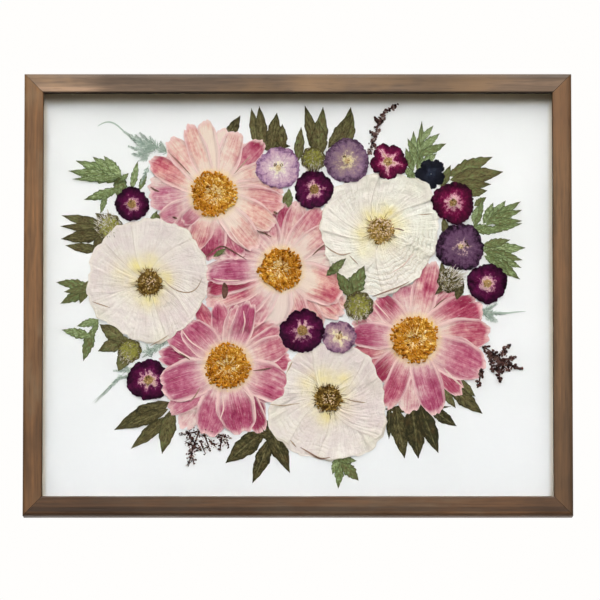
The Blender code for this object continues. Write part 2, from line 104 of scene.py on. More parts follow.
# %% Camera
CAMERA_BELOW = 6.0            # degrees
CAMERA_FAR = 6.0
PICTURE_PX = 600
FACE_MIDDLE_PX = (297.9, 293.8)
CLOSER = 1.003                # the picture is this much tighter than the pixel size says
front_y = cad_box[0][1]
picture_width = PICTURE_PX * PX / CLOSER
aim = Vector(((PICTURE_PX / 2 - FACE_MIDDLE_PX[0]) * PX, front_y,
              CENTRE_Z - (PICTURE_PX / 2 - FACE_MIDDLE_PX[1]) * PZ))
below = math.radians(CAMERA_BELOW)
back = Vector((0, -math.cos(below), -math.sin(below)))
lens = bpy.data.cameras.new("camera")
lens.sensor_width = 36
lens.lens = lens.sensor_width * CAMERA_FAR / picture_width
camera = bpy.data.objects.new("camera", lens)
camera.location = aim + back * CAMERA_FAR
camera.rotation_euler = (-back).to_track_quat("-Z", "Y").to_euler()
bpy.context.scene.collection.objects.link(camera)
bpy.context.scene.camera = camera
print("lens", round(lens.lens), "mm")

# %% [markdown]
# ## Nodes as wires
# The finishes and the sky are webs of nodes. Written out one node at a time a web is long and hard
# to read. So a short helper adds a node, fills its inputs and hands back its output as a wire.
# Wires are added, subtracted, multiplied and divided like numbers, and each sum adds the node that
# works it out.

# %% Wires and webs of nodes


def colour(red, green, blue):
    """A screen colour of 0 to 255 as the linear colour that a shader takes."""
    share = np.array((red, green, blue)) / 255
    linear = np.where(share < 0.04045, share / 12.92, ((share + 0.055) / 1.055) ** 2.4)
    return (*linear.tolist(), 1.0)


class Wire:
    """An output of a node that can be reckoned with."""

    def __init__(self, web, socket):
        self.web = web
        self.socket = socket

    def __add__(self, other):
        return self.web.maths("ADD", self, other)

    def __sub__(self, other):
        return self.web.maths("SUBTRACT", self, other)

    def __mul__(self, other):
        return self.web.maths("MULTIPLY", self, other)

    def __truediv__(self, other):
        return self.web.maths("DIVIDE", self, other)

    def __abs__(self):
        return self.web.maths("ABSOLUTE", self)


class Web:
    """Nodes in the making. Each method adds nodes and gives back a wire to use further."""

    def __init__(self, tree):
        self.tree = tree

    def feed(self, node, inputs):
        for key, value in inputs.items():
            if isinstance(value, Wire):
                self.tree.links.new(value.socket, node.inputs[key])
            else:
                node.inputs[key].default_value = value

    def add(self, kind, inputs, output=0, **settings):
        node = self.tree.nodes.new("ShaderNode" + kind)
        for key, value in settings.items():
            setattr(node, key, value)
        self.feed(node, inputs)
        return Wire(self, node.outputs[output])

    def maths(self, operation, first, second=0.0):
        return self.add("Math", {0: first, 1: second}, operation=operation)

    def step(self, value, start, end, low=0.0, high=1.0):
        """Runs smoothly from low to high while the value goes from start to end."""
        return self.add("MapRange", {"Value": value, "From Min": start, "From Max": end,
                                     "To Min": low, "To Max": high},
                        interpolation_type="SMOOTHSTEP")


print("a mid grey of 128 is", round(colour(128, 128, 128)[0], 3), "for a shader")

# %% [markdown]
# ## Finishes
# A finish is what the real surface has from its maker or from nature: stain, card, dried skin. It
# could be a picture wrapped round the piece, but a picture has one size and one place. So each
# finish is worked out from where a point lies, in space or on its own petal, and holds at any
# distance. A few named methods do what all of them need: noise, a ramp, coats of colour, a bump.

# %% Finishes


class Finish(Web):
    """A material in the making."""

    def __init__(self, name, **sockets):
        self.material = bpy.data.materials.new(name)
        self.material.use_nodes = True
        super().__init__(self.material.node_tree)
        self.shader = self.tree.nodes["Principled BSDF"]
        self.set(**sockets)

    def set(self, **sockets):
        self.feed(self.shader, {key.replace("_", " "): value for key, value in sockets.items()})

    def marks(self, names):
        """The wires of a surface's own marks, such as how far along the petal a point is."""
        return [self.add("Attribute", {}, "Fac", attribute_name=name) for name in names.split()]

    def place(self, stretch=(1, 1, 1)):
        spot_here = self.add("TexCoord", {}, "Object")
        return self.add("Mapping", {"Vector": spot_here, "Scale": stretch})

    def place_along(self, axis):
        return self.add("SeparateXYZ", {0: self.place()}, axis)

    def vector(self, x, y, z=0.0):
        return self.add("CombineXYZ", {0: x, 1: y, 2: z})

    def noise(self, where, scale, detail=3.0, roughness=0.5):
        return self.add("TexNoise", {"Vector": where, "Scale": scale, "Detail": detail,
                                     "Roughness": roughness})

    def ramp(self, amount, stops):
        node = self.tree.nodes.new("ShaderNodeValToRGB")
        self.feed(node, {"Fac": amount})
        points = node.color_ramp.elements
        while len(points) < len(stops):
            points.new(0.5)
        for point, (position, shade) in zip(points, stops):
            point.position = position
            point.color = colour(*shade)
        return Wire(self, node.outputs["Color"])

    def blend(self, amount, first, second, mode="MIX"):
        return self.add("Mix", {0: amount, 6: first, 7: second}, 2, data_type="RGBA",
                        blend_type=mode)

    def coats(self, base, *coats):
        """Colours laid one over the other: each coat is how much of it there is, and its shade."""
        for amount, shade in coats:
            base = self.blend(amount, base, colour(*shade))
        return base

    def bump(self, height, distance, strength=1.0):
        self.set(Normal=self.add("Bump", {"Height": height, "Distance": distance,
                                          "Strength": strength}))


def dress(names, finish):
    """Gives ready pieces a finish through their material slots."""
    for name in names:
        nodes[name].material_slots[0].material = finish.material


print("finish kit ready")

# %% [markdown]
# ## Light
# Light has to pass the glass to reach the flowers, and a lamp behind glass makes a grainy
# picture. So the light is the sky itself: one smooth glow, brightest above the front, and a weak
# one for the back. A darker patch straight ahead of the glass does what a black card behind a
# photographer does, and keeps the room out of the pane. The floor is pale, and no larger than it
# needs to be, because a wide one would throw its own colour up at the rails.

# %% Sky and floor
scene = bpy.context.scene
scene.view_settings.view_transform = "Standard"
scene.world = bpy.data.worlds.new("studio")
scene.world.use_nodes = True
sky = Web(scene.world.node_tree)
direction = sky.add("TexCoord", {}, "Generated")


def sky_lobe(towards, start, end, low, high):
    """Brightness that runs smoothly from low to high as a direction turns towards another one."""
    along = sky.add("VectorMath", {0: direction, 1: Vector(towards).normalized()}, "Value",
                    operation="DOT_PRODUCT")
    return sky.step(along, start, end, low, high)


GLOW, BACK_GLOW = 13.6, 1.6        # how bright the sky is in front and behind
glow = sky_lobe((-0.02, -0.63, 0.77), 0.80, 0.985, 0.10, GLOW)
card = sky_lobe((0, -1, 0.1), 0.955, 0.985, 1.0, 0.05)
under = sky_lobe((0, 0, -1), 0.0, 0.3, 1.0, 0.4)
behind = sky_lobe((0, 1, 0.35), 0.3, 0.95, 0.0, BACK_GLOW)
light = glow * card * under + behind
seen = sky.add("LightPath", {}, "Is Camera Ray")
strength = sky.add("Mix", {0: seen, 2: light, 3: 1.0})
sky.feed(sky.tree.nodes["Background"], {"Color": (1.0, 0.99, 0.975, 1), "Strength": strength})

FLOOR_Z = -2.0
FLOOR_HALF = 1.2
floor_mesh = bpy.data.meshes.new("floor")
floor_mesh.from_pydata([(x * FLOOR_HALF, y * FLOOR_HALF, FLOOR_Z)
                        for x, y in ((-1, -1), (1, -1), (1, 1), (-1, 1))], [], [(0, 1, 2, 3)])
floor_finish = Finish("pale_floor", Roughness=0.9)
speck = floor_finish.noise(floor_finish.place(), 3.0)
floor_finish.set(Base_Color=floor_finish.ramp(speck, [(0.3, (212, 198, 182)),
                                                      (0.7, (220, 207, 192))]))
floor_mesh.materials.append(floor_finish.material)
floor = bpy.data.objects.new("floor", floor_mesh)
scene.collection.objects.link(floor)
print("sky ready, floor at", FLOOR_Z)

# %% [markdown]
# ## Stained walnut
# The rails are solid wood with a brown stain. Wood grain is noise pulled out along the rail: long
# wandering bands, fine streaks, short dark pores, and broad patches where the stain took less.
# Each rail gets its own mean shade; the bottom rail's is darker as painted shade, because the light
# falls from above. The grain turns at the mitres because it always runs along its rail. Across each
# rail, painted shade darkens the rounded edges and the inner lip; along it, the wood is a little
# brighter or darker from place to place, and darker towards the lower end of the side rails.

# %% Walnut


def shaded(wood, base, axis, low, high, stops):
    """Multiplies a colour by a painted shade that changes along one axis from low to high."""
    share = (wood.place_along(axis) - low) / (high - low)
    greys = wood.ramp(share, [(at, (255 * light,) * 3) for at, light in stops])
    return wood.blend(1.0, base, greys, "MULTIPLY")


def walnut(name, rail, along, mean, patch, lengthwise, crosswise):
    """The stained wood of one rail: grain drawn out along it, paler patches, dark pores, painted shade."""
    wood = Finish(name, Roughness=0.55, Specular_IOR_Level=0.22)

    def drawn(share):
        return wood.place({"X": (share, 1, 1), "Z": (1, 1, share)}[along])

    bands = wood.noise(drawn(0.05), 85.0, 5.0, 0.65)
    streaks = wood.noise(drawn(0.05), 460.0, 3.0, 0.6)
    pores = wood.noise(drawn(0.03), 1500.0, 2.0)
    patches = wood.noise(drawn(0.5), 16.0, 4.0, 0.65)
    dark = wood.step(pores, 0.60, 0.72, 0.0, 0.5)

    def shade(share):
        return tuple(part * share for part in mean)

    base = wood.ramp(streaks * 0.4 + bands * 0.6, [(0.30, shade(0.66)), (0.45, shade(0.9)),
                                                   (0.56, shade(1.05)), (0.72, shade(1.3))])
    base = wood.coats(base, (wood.step(patches, 0.46, 0.66, 0.0, 0.75), patch),
                      (wood.step(patches, 0.46, 0.28, 0.0, 0.5), shade(0.72)), (dark, shade(0.5)))
    rail_low, rail_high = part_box(rail)
    other = {"X": "Z", "Z": "X"}[along]
    # Painted shade: darker at the rounded edges and the inner lip, and along the side rails towards the
    # bottom.
    for axis, stops in ((along, lengthwise), (other, crosswise)):
        low, high = (getattr(corner, axis.lower()) for corner in (rail_low, rail_high))
        base = shaded(wood, base, axis, low, high, stops)
    wood.set(Base_Color=base, Roughness=wood.step(streaks, 0.3, 0.7, 0.48, 0.68))
    wood.bump(streaks - dark * 0.6, 0.00015)
    return wood


# For each rail: the way its grain runs, its mean shade (darker on the bottom rail as painted shade),
# the shade of its paler patches, and the painted shade along it and across it, as (share of the way,
# brightness).
RAILS = {
    "top": ("X", (108, 88, 71), (128, 101, 73), [
        (0.0, 1.0), (0.05, 1.12), (0.11, 1.1), (0.15, 0.87), (0.46, 0.83), (0.52, 0.96), (0.66, 0.88),
        (0.75, 0.8), (0.85, 0.9), (1.0, 0.84)], [
        (0.0, 0.45), (0.06, 0.6), (0.12, 1.0), (0.55, 0.98), (0.75, 0.9), (0.86, 0.78), (1.0, 0.68)]),
    "bottom": ("X", (76, 53, 34), (84, 68, 52), [
        (0.0, 0.9), (0.12, 0.86), (0.5, 0.98), (0.8, 1.06), (1.0, 1.02)], [
        (0.0, 1.0), (0.18, 1.0), (0.24, 0.72), (0.42, 0.74), (0.5, 0.96), (0.6, 0.9), (0.8, 0.96),
        (1.0, 0.82)]),
    "left": ("Z", (108, 76, 47), (114, 93, 69), [
        (0.0, 0.76), (0.35, 0.88), (0.55, 1.03), (0.66, 1.0), (0.76, 0.94), (1.0, 1.03)], [
        (0.0, 1.0), (0.25, 0.98), (0.75, 0.98), (0.94, 0.9), (1.0, 0.66)]),
    "right": ("Z", (101, 74, 49), (112, 79, 51), [
        (0.0, 0.8), (0.35, 0.88), (0.75, 0.98), (0.9, 0.94), (1.0, 0.98)], [
        (0.0, 0.66), (0.06, 0.9), (0.25, 1.0), (0.65, 0.95), (0.85, 0.82), (1.0, 0.86)]),
}
for side, settings in RAILS.items():
    rail = side + "_rail"
    dress([rail], walnut("walnut_" + side, rail, *settings))
print("four rails in walnut")

# %% [markdown]
# ## Glass, boards and metal
# The glass is plain clear glass, with nothing but its transmission and its index. The mount
# board is a soft white card with a faint tooth. Painted shade turns it brownish near the lip and the
# inner sides, and makes it a little darker and cooler towards the bottom, to even out the light. The
# spacer above it is toned brown as painted shade, to darken the band under the lip. The backing is a
# brown-grey fibre board. The points are dull zinc steel and the hanger is brassed, both brushed
# lengthwise.

# %% Glass, boards and metal
glass = Finish("clear_glass", Base_Color=(1, 1, 1, 1), Roughness=0.0, IOR=1.45,
               Transmission_Weight=1.0)
dress(["glass"], glass)

card_white = Finish("white_card", Roughness=0.92)
tooth = card_white.noise(card_white.place(), 500.0, 3.0)
cloud = card_white.noise(card_white.place(), 9.0, 2.0)
place_z = card_white.place_along("Z")
upper = CENTRE_Z + SIGHT_H / 2
# Painted shade: the card is a little darker and cooler towards the bottom, to even out the light.
lower = card_white.step(place_z, upper - 0.3 * SIGHT_H, upper - SIGHT_H, 0.0, 0.5)
# Painted shade: brownish near the lip at the top and along the inner sides.
painted_shade_top = card_white.step(place_z, upper - 12 * MM, upper - 2 * MM, 0.0, 0.85)
painted_shade_sides = card_white.step(abs(card_white.place_along("X")), SIGHT_W / 2 - 5 * MM, SIGHT_W / 2,
                            0.0, 0.5)
shade = card_white.ramp(cloud, [(0.3, (244, 247, 246)), (0.7, (250, 252, 252))])
shade = card_white.coats(shade, (lower, (236, 240, 244)),
                         (card_white.maths("MAXIMUM", painted_shade_top, painted_shade_sides), (216, 200, 164)))
card_white.set(Base_Color=shade)
card_white.bump(tooth, 0.00002)
dress(["mount_board"], card_white)

# Painted shade: the spacer is toned brown so that the band under the lip comes out dark.
shade_toned_card = Finish("shade_toned_card", Roughness=0.9)
spacer_tone_noise = shade_toned_card.noise(shade_toned_card.place(), 60.0, 4.0)
shade_toned_card.set(Base_Color=shade_toned_card.ramp(spacer_tone_noise, [(0.3, (132, 108, 82)), (0.7, (150, 126, 98))]))
dress(["spacer"], shade_toned_card)

fibre_board = Finish("fibre_board", Roughness=0.9)
fibres = fibre_board.noise(fibre_board.place((1, 1, 0.35)), 260.0, 5.0, 0.65)
flecks = fibre_board.noise(fibre_board.place(), 1200.0, 2.0)
shade = fibre_board.ramp(fibres, [(0.3, (126, 110, 90)), (0.7, (158, 140, 116))])
fibre_board.set(Base_Color=fibre_board.coats(
    shade, (fibre_board.step(flecks, 0.62, 0.75, 0.0, 0.5), (92, 76, 60))))
fibre_board.bump(fibres, 0.0001)
dress(["backing_board"], fibre_board)


def metal(name, low, high, roughness):
    """A brushed metal: fine streaks along X between two shades."""
    made = Finish(name, Metallic=1.0)
    brushed = made.noise(made.place((0.04, 1, 1)), 2500.0, 3.0)
    worn = made.noise(made.place(), 140.0, 3.0)
    made.set(Base_Color=made.ramp(brushed, [(0.3, low), (0.7, high)]),
             Roughness=made.step(worn, 0.3, 0.7, roughness, roughness + 0.2))
    made.bump(brushed, 0.00002)
    return made


steel = metal("zinc_steel", (150, 151, 152), (186, 187, 188), 0.35)
brass = metal("brassed_steel", (168, 138, 78), (205, 176, 112), 0.28)
dress([name for name in nodes if name.startswith("point")], steel)
dress(["hanger"], brass)
print("glass, boards and metal dressed")

# %% [markdown]
# ## Closed thin sheets
# A petal, a leaf or a pod is a sheet: a grid of points with a number of rows from root to tip and
# of columns from side to side. Modelling them by hand would take days, and a flat picture of them
# would catch no light. Here each one is worked out as whole arrays, given a back and a rim so that
# it is a closed body, and marked with where each point lies along and across the blade. The
# finishes read those marks, so veins and edges follow every petal.

# %% Shapes from grids
SHARP_DEGREES = 50            # an edge that bends more than this is shaded as a sharp one


def shape(points, faces, **marks):
    """Points, four-sided faces and marks of a closed body, its faces turned outwards.

    The volume is the sum, over the triangles of all faces, of the triple product of their
    corners; where it comes out negative, every face is turned round."""
    a, b, c, d = (points[faces[:, k]] for k in range(4))
    volume = np.einsum("ij,ij->", a, np.cross(b, c)) + np.einsum("ij,ij->", a, np.cross(c, d))
    return {"points": points, "faces": faces if volume > 0 else faces[:, ::-1], "marks": marks}


def shell(top, bottom, **marks):
    """A closed thin sheet between two grids of points (rows, columns, 3).

    The cells of the top grid, those of the bottom grid the other way round, and a strip of cells
    that joins the two edges all the way round. A mark is a grid or one number for the sheet."""
    rows, columns = top.shape[:2]
    index = np.arange(rows * columns).reshape(rows, columns)
    upper = np.stack([index[:-1, :-1], index[1:, :-1], index[1:, 1:], index[:-1, 1:]], -1)
    upper = upper.reshape(-1, 4)
    edge = np.concatenate([index[0, :-1], index[:-1, -1], index[-1, :0:-1], index[:0:-1, 0]])
    after = np.roll(edge, -1)
    rim = np.stack([edge, after, after + index.size, edge + index.size], -1)
    points = np.concatenate([top.reshape(-1, 3), bottom.reshape(-1, 3)])
    full = {name: np.tile(np.broadcast_to(value, (rows, columns)).ravel(), 2)
            for name, value in marks.items()}
    return shape(points, np.concatenate([upper, upper[:, ::-1] + index.size, rim]), **full)


def sheet_grid(rows, columns):
    """Two grids: along, from 0 at the root to 1 at the tip, and across, from -1 to 1."""
    return np.meshgrid(np.linspace(0, 1, rows), np.linspace(-1, 1, columns), indexing="ij")


def build(name, shapes, finish, replaced=()):
    """One object from many shapes, with their marks as point attributes, riding on the frame."""
    counts = [len(one["points"]) for one in shapes]
    starts = np.cumsum([0] + counts[:-1])
    points = np.concatenate([one["points"] for one in shapes])
    faces = np.concatenate([one["faces"] + start for one, start in zip(shapes, starts)])
    mesh = bpy.data.meshes.new(name)
    mesh.vertices.add(len(points))
    mesh.vertices.foreach_set("co", points.astype(np.float32).ravel())
    mesh.loops.add(faces.size)
    mesh.loops.foreach_set("vertex_index", faces.astype(np.int32).ravel())
    mesh.polygons.add(len(faces))
    mesh.polygons.foreach_set("loop_start", np.arange(0, faces.size, 4, dtype=np.int32))
    mesh.update(calc_edges=True)
    for mark in sorted({mark for one in shapes for mark in one["marks"]}):
        values = [np.broadcast_to(one["marks"].get(mark, 0.0), count)
                  for one, count in zip(shapes, counts)]
        attribute = mesh.attributes.new(mark, "FLOAT", "POINT")
        attribute.data.foreach_set("value", np.concatenate(values).astype(np.float32))
    mesh.shade_smooth()
    mesh.set_sharp_from_angle(angle=math.radians(SHARP_DEGREES))
    mesh.materials.append(finish.material)
    piece = bpy.data.objects.new(name, mesh)
    scene.collection.objects.link(piece)
    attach(piece, "root")
    if replaced:
        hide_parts(*replaced)


print("a sheet of 24 x 15 points makes",
      len(shell(np.zeros((24, 15, 3)), np.zeros((24, 15, 3)))["faces"]), "faces")

# %% [markdown]
# ## Laying one thing on another
# Pressed plants lie where what is under them lets them lie: flat on the board at a free tip, and
# up over a neighbour where two cross. Fixed heights for each flower would leave tips floating, and
# a cloth simulation of a hundred petals would take minutes. So the board keeps a height map. Each
# new sheet reads the ground under it, and then becomes ground for the next one.

# %% The height map of the board
CELL = 0.5 * MM
BOARD_ROWS, BOARD_COLUMNS = round(SIGHT_H / CELL), round(SIGHT_W / CELL)
ground = np.zeros((BOARD_ROWS, BOARD_COLUMNS))


def cell_of(x, z, row_step=0, column_step=0):
    """Row and column of the height map at places on the board."""
    row = ((z - CENTRE_Z + SIGHT_H / 2) / CELL).astype(int) + row_step
    column = ((x + SIGHT_W / 2) / CELL).astype(int) + column_step
    return np.clip(row, 0, BOARD_ROWS - 1), np.clip(column, 0, BOARD_COLUMNS - 1)


def ground_at(x, z):
    """Height of the ground at places on the board."""
    return ground[cell_of(np.asarray(x), np.asarray(z))]


def finer(values, times=6):
    """The same grid with more rows and columns, filled in along straight lines."""
    rows, columns = values.shape
    new_rows = np.linspace(0, rows - 1, (rows - 1) * times + 1)
    new_columns = np.linspace(0, columns - 1, (columns - 1) * times + 1)
    row = np.minimum(new_rows.astype(int), rows - 2)
    column = np.minimum(new_columns.astype(int), columns - 2)
    down = (new_rows - row)[:, None]
    right = (new_columns - column)[None, :]
    upper = values[row][:, column] * (1 - right) + values[row][:, column + 1] * right
    lower = values[row + 1][:, column] * (1 - right) + values[row + 1][:, column + 1] * right
    return upper * (1 - down) + lower * down


print("height map of", BOARD_ROWS, "x", BOARD_COLUMNS, "cells")

# %% [markdown]
# ## Laying a sheet
# A dried petal is stiff. It doesn't follow every stamen under it, and it doesn't pass through one
# either. Just lifting it whole to the highest point would leave it hovering. So it takes the
# highest ground around each of its points and blurs that, never going below it: it spans the
# hollows, rests on what stands out, and comes down to the board at a free tip.

# %% Laying a sheet
AIR = 0.03 * MM               # between a sheet and what it lies on
REACH_CELLS = 2               # how far round a point the ground is looked at
STIFFNESS = 12                # how often a sheet is blurred, so how wide a hollow it bridges


def lay(x, z, relief, thick, under=None):
    """Height above the board of the back of a sheet that is laid on the ground.

    Each point needs the highest ground around it. The heights are blurred over the grid again and
    again, never below that need, so the sheet bridges hollows. Then its own relief is added and
    the ground under it rises to its top. under is an earlier state of the ground, for sheets that
    grow between each other."""
    near = range(-REACH_CELLS, REACH_CELLS + 1)
    under = ground if under is None else under
    need = np.max([under[cell_of(x, z, a, b)] for a in near for b in near], axis=0)
    height = need
    for _ in range(STIFFNESS):
        wide = np.pad(height, 1, mode="edge")
        blurred = (wide[:-2, 1:-1] + wide[2:, 1:-1] + wide[1:-1, :-2] + wide[1:-1, 2:]) / 4
        height = np.maximum(need, blurred)
    height = height + AIR + relief
    np.maximum.at(ground, cell_of(finer(x), finer(z)), finer(height + thick))
    return height


def at_height(x, z, height):
    """Points in space from places on the board and heights above it."""
    return np.stack([x, BOARD_Y - height, z], -1)


def laid_sheet(x, z, relief, thick, under=None, **marks):
    """A closed sheet laid on the ground."""
    height = lay(x, z, relief, thick, under)
    return shell(at_height(x, z, height + thick), at_height(x, z, height), **marks)


def blade(root, tip, half, width, front, bend=0.0):
    """Places (x, z) of a flat blade from root to tip.

    along runs from root to tip and across from side to side. A point goes along times front of the
    way to the tip, and across times half times width to the side; bend moves it further to the
    side by that share of the length, growing with along squared."""
    way = tip - root
    length = np.hypot(*way)
    forward = way / length
    side = np.array((-forward[1], forward[0]))
    along, across = sheet_grid(*width.shape)
    reach = length * along * front
    aside = half * across * width + bend * length * along ** 2
    x, z = (root[k] + reach * forward[k] + aside * side[k] for k in (0, 1))
    return x, z


print("a sheet spans hollows over", STIFFNESS, "steps of its grid")

# %% [markdown]
# ## Beads
# Anthers and buds are hundreds of tiny round bodies. Smooth balls would cost twenty times the faces
# and look no different, so each is a ball of 24 faces that is stretched and turned. All of them are
# worked out in one go, as arrays with one more dimension.

# %% Beads


def bead():
    """A ball of 24 four-sided faces: the 26 outer points of a lattice of 3 x 3 x 3, each divided
    by its distance from the middle."""
    lattice = np.stack(np.meshgrid(*[[-1.0, 0.0, 1.0]] * 3, indexing="ij"), -1).reshape(-1, 3)
    outer = np.any(lattice != 0, axis=1)
    number = (np.cumsum(outer) - 1).reshape(3, 3, 3)
    planes = [np.take(number, end, axis=axis) for axis in range(3) for end in (0, 2)]
    faces = np.concatenate([np.stack([p[:-1, :-1], p[1:, :-1], p[1:, 1:], p[:-1, 1:]], -1)
                            .reshape(-1, 4) for p in planes])
    points = lattice[outer] / np.linalg.norm(lattice[outer], axis=1, keepdims=True)
    a, b, c = (points[faces[:, k]] for k in range(3))
    inward = np.einsum("ij,ij->i", np.cross(b - a, c - a), a) < 0
    faces[inward] = faces[inward][:, ::-1]
    return points, faces


BEAD_POINTS, BEAD_FACES = bead()


def beads(middles, sizes, turns, **marks):
    """Balls at middles (k, 3), stretched to sizes (k, 3) and turned in the board's plane."""
    count = len(middles)
    local = BEAD_POINTS[None] * sizes[:, None]
    cos, sin = np.cos(turns)[:, None], np.sin(turns)[:, None]
    turned = np.stack([local[..., 0] * cos - local[..., 2] * sin, local[..., 1],
                       local[..., 0] * sin + local[..., 2] * cos], -1)
    faces = BEAD_FACES[None] + len(BEAD_POINTS) * np.arange(count)[:, None, None]
    full = {name: np.repeat(np.broadcast_to(value, count), len(BEAD_POINTS))
            for name, value in marks.items()}
    return shape((middles[:, None] + turned).reshape(-1, 3), faces.reshape(-1, 4), **full)


print("a bead has", len(BEAD_FACES), "faces")

# %% [markdown]
# ## Threads, discs and places round a middle
# Filaments and hairs are stalks, pods are round, and much is strewn round a middle. A stalk is
# thinner than a hair's breadth in the picture, so a square section is enough. A disc made of wedges
# would have a pole where its faces crowd, so a square grid is stretched round instead.

# %% Threads, discs and places round a middle
THREAD_RINGS = THREAD_SIDES = 4


def threads(starts, ends, radius, arch, **marks):
    """Stalks from starts to ends (k, 3): a square section carried along, thinner towards the end.

    Each stalk lifts off the board by arch times the sine of the way along it."""
    share = np.linspace(0, 1, THREAD_RINGS)
    count = len(starts)
    centre = starts[:, None] + (ends - starts)[:, None] * share[None, :, None]
    centre[..., 1] -= arch * np.sin(np.pi * share)
    flat = ends - starts
    side = np.stack([-flat[:, 2], np.zeros(count), flat[:, 0]], -1)
    side /= np.linalg.norm(side, axis=1, keepdims=True)
    up = np.array((0.0, 1.0, 0.0))
    corners = [side + up, side - up, -side - up, -side + up]
    taper = (radius * (1 - 0.6 * share))[None, :, None]
    ring = np.stack([centre + taper * corner[:, None] for corner in corners], 2)
    each = THREAD_RINGS * THREAD_SIDES
    number = np.arange(each).reshape(THREAD_RINGS, THREAD_SIDES)
    after = np.roll(number, -1, axis=1)
    walls = [np.stack([number[:-1, k], number[1:, k], after[1:, k], after[:-1, k]], -1)
             for k in range(THREAD_SIDES)]
    faces = np.concatenate(walls + [number[:1], number[-1:, ::-1]])
    faces = faces[None] + each * np.arange(count)[:, None, None]
    full = {name: np.repeat(np.broadcast_to(value, count), each) for name, value in marks.items()}
    return shape(ring.reshape(-1, 3), faces.reshape(-1, 4), **full)


def disc_grid(size):
    """A square grid stretched into a round disc of radius 1, with no pole: x is u times the root
    of 1 - v*v/2, and z is v times the root of 1 - u*u/2."""
    u, v = np.meshgrid(np.linspace(-1, 1, size), np.linspace(-1, 1, size), indexing="ij")
    return u * np.sqrt(1 - v ** 2 / 2), v * np.sqrt(1 - u ** 2 / 2)


def scatter(rng, count, inner, outer):
    """Radii and angles of places spread evenly over a ring whose outline wavers a little."""
    radius = np.sqrt(rng.uniform(inner ** 2, outer ** 2, count))
    angle = rng.uniform(0, 2 * np.pi, count)
    phase = rng.uniform(0, 6, 2)
    waver = 0.05 * np.sin(angle * 3 + phase[0]) + 0.03 * np.sin(angle * 8 + phase[1])
    return radius * (1 + waver), angle


def around(middle, radius, angle):
    """Places at polar positions round a middle, as an array (k, 2)."""
    return np.stack([middle[0] + radius * np.cos(angle), middle[1] + radius * np.sin(angle)], -1)


print("a thread has", THREAD_RINGS * THREAD_SIDES, "points, a disc of 21", disc_grid(21)[0].size)

# %% [markdown]
# ## Leaf green
# Pressed leaves are dark and leathery, with a lighter midrib and browned edges. One finish serves
# all of them, because each blade brings its own shade as a mark. The veins follow the marks along
# and across the blade, and a noise in space mottles it, so no two leaves look alike.

# %% Leaf finish


def leaf_finish(name):
    """Leaf green from near-black olive (tone 0) to fresh green (tone 1), with veins and blotches."""
    leaf = Finish(name, Roughness=0.75, Specular_IOR_Level=0.1)
    along, across, tone, seed = leaf.marks("along across tone seed")
    mottle = leaf.noise(leaf.vector(across * 1.5, along * 4.0, seed * 9.0), 2.2, 4.0, 0.65)
    grain = leaf.noise(leaf.place(), 900.0, 3.0, 0.6)
    rusty = leaf.noise(leaf.place(), 120.0, 3.0, 0.6)
    off = abs(across)
    midrib = leaf.step(off, 0.02, 0.12, 0.42, 0.0) * leaf.step(mottle, 0.3, 0.6)
    veins = leaf.step(leaf.maths("SINE", along * 26.0 - off * 7.0), 0.6, 1.0, 0.0, 0.4)
    edge = leaf.maths("MAXIMUM", leaf.step(off, 0.7, 0.98, 0.0, 0.75),
                      leaf.step(along, 0.78, 1.0, 0.0, 0.75))
    base = leaf.ramp(tone + (mottle - 0.5) * 1.5 + (grain - 0.5) * 0.8, [
        (0.0, (42, 42, 24)), (0.2, (78, 71, 44)), (0.42, (114, 105, 68)),
        (0.62, (104, 118, 70)), (0.8, (130, 150, 98)), (1.0, (178, 194, 148))])
    base = leaf.coats(
        base, (leaf.step(rusty, 0.5, 0.68, 0.0, 0.5) * leaf.step(tone, 0.7, 0.3), (84, 62, 36)),
        (midrib, (150, 146, 100)), (veins, (52, 52, 28)),
        (edge * leaf.step(mottle, 0.3, 0.55, 0.4, 1.0), (40, 40, 24)))
    leaf.set(Base_Color=base, Roughness=leaf.step(mottle, 0.3, 0.7, 0.6, 0.85))
    leaf.bump(mottle + grain * 0.5, 0.00025)
    return leaf


leaf_look = leaf_finish("pressed_leaf")
print("leaf finish of", len(leaf_look.tree.nodes), "nodes")

# %% [markdown]
# ## Leaf blades
# Each leaf of the real thing was picked and pressed by itself. Here it is one sheet whose width
# follows a sine that leans to the root. A blade cut from a flat outline would look like paper, so
# the sheet has a raised midrib, furrows between its side veins, teeth at its edge, and it wavers a
# little, because no real leaf is symmetric.

# %% Leaf blades
LEAF_THICK = 0.14 * MM


def leaf_blade(base, tip, width, tone, rng, rows=31, columns=9):
    """One leaf between two pixel places: half its width times a leaning sine, with a wavering edge.

    The teeth are the fraction of 6 times along, on a green leaf more than on a dark one: the edge
    swells towards the tip and drops back, again and again."""
    along, across = sheet_grid(rows, columns)
    phase = rng.uniform(0, 6, 3)
    outline = np.sin(np.pi * along ** 0.85)
    outline = np.maximum(outline, 0.04) * (1 + 0.06 * np.sin(along * 19 + phase[0] + across * 2))
    teeth = 0.3 if tone > 0.5 else 0.12
    outline = outline * (1 + teeth * ((along * 6 + phase[2] * np.sign(across)) % 1 - 0.5))
    x, z = blade(spot(base), spot(tip), width * PX / 2, outline, 1.0, rng.uniform(-0.04, 0.04))
    off = np.abs(across)
    midrib = 0.16 * MM * np.exp(-(across / 0.16) ** 2) * (1 - along)
    furrows = 0.05 * MM * np.sin(along * 26 - off * 7) * (1 - off)
    waver = 0.10 * MM * np.sin(along * 7 + phase[1] + 1.5 * across) + 0.10 * MM * off ** 3
    relief = np.maximum(midrib + furrows + waver, -AIR / 2)
    return laid_sheet(x, z, relief, LEAF_THICK, along=along, across=across, tone=tone,
                      seed=rng.uniform())


print("leaves", round(LEAF_THICK / MM, 2), "mm thick")

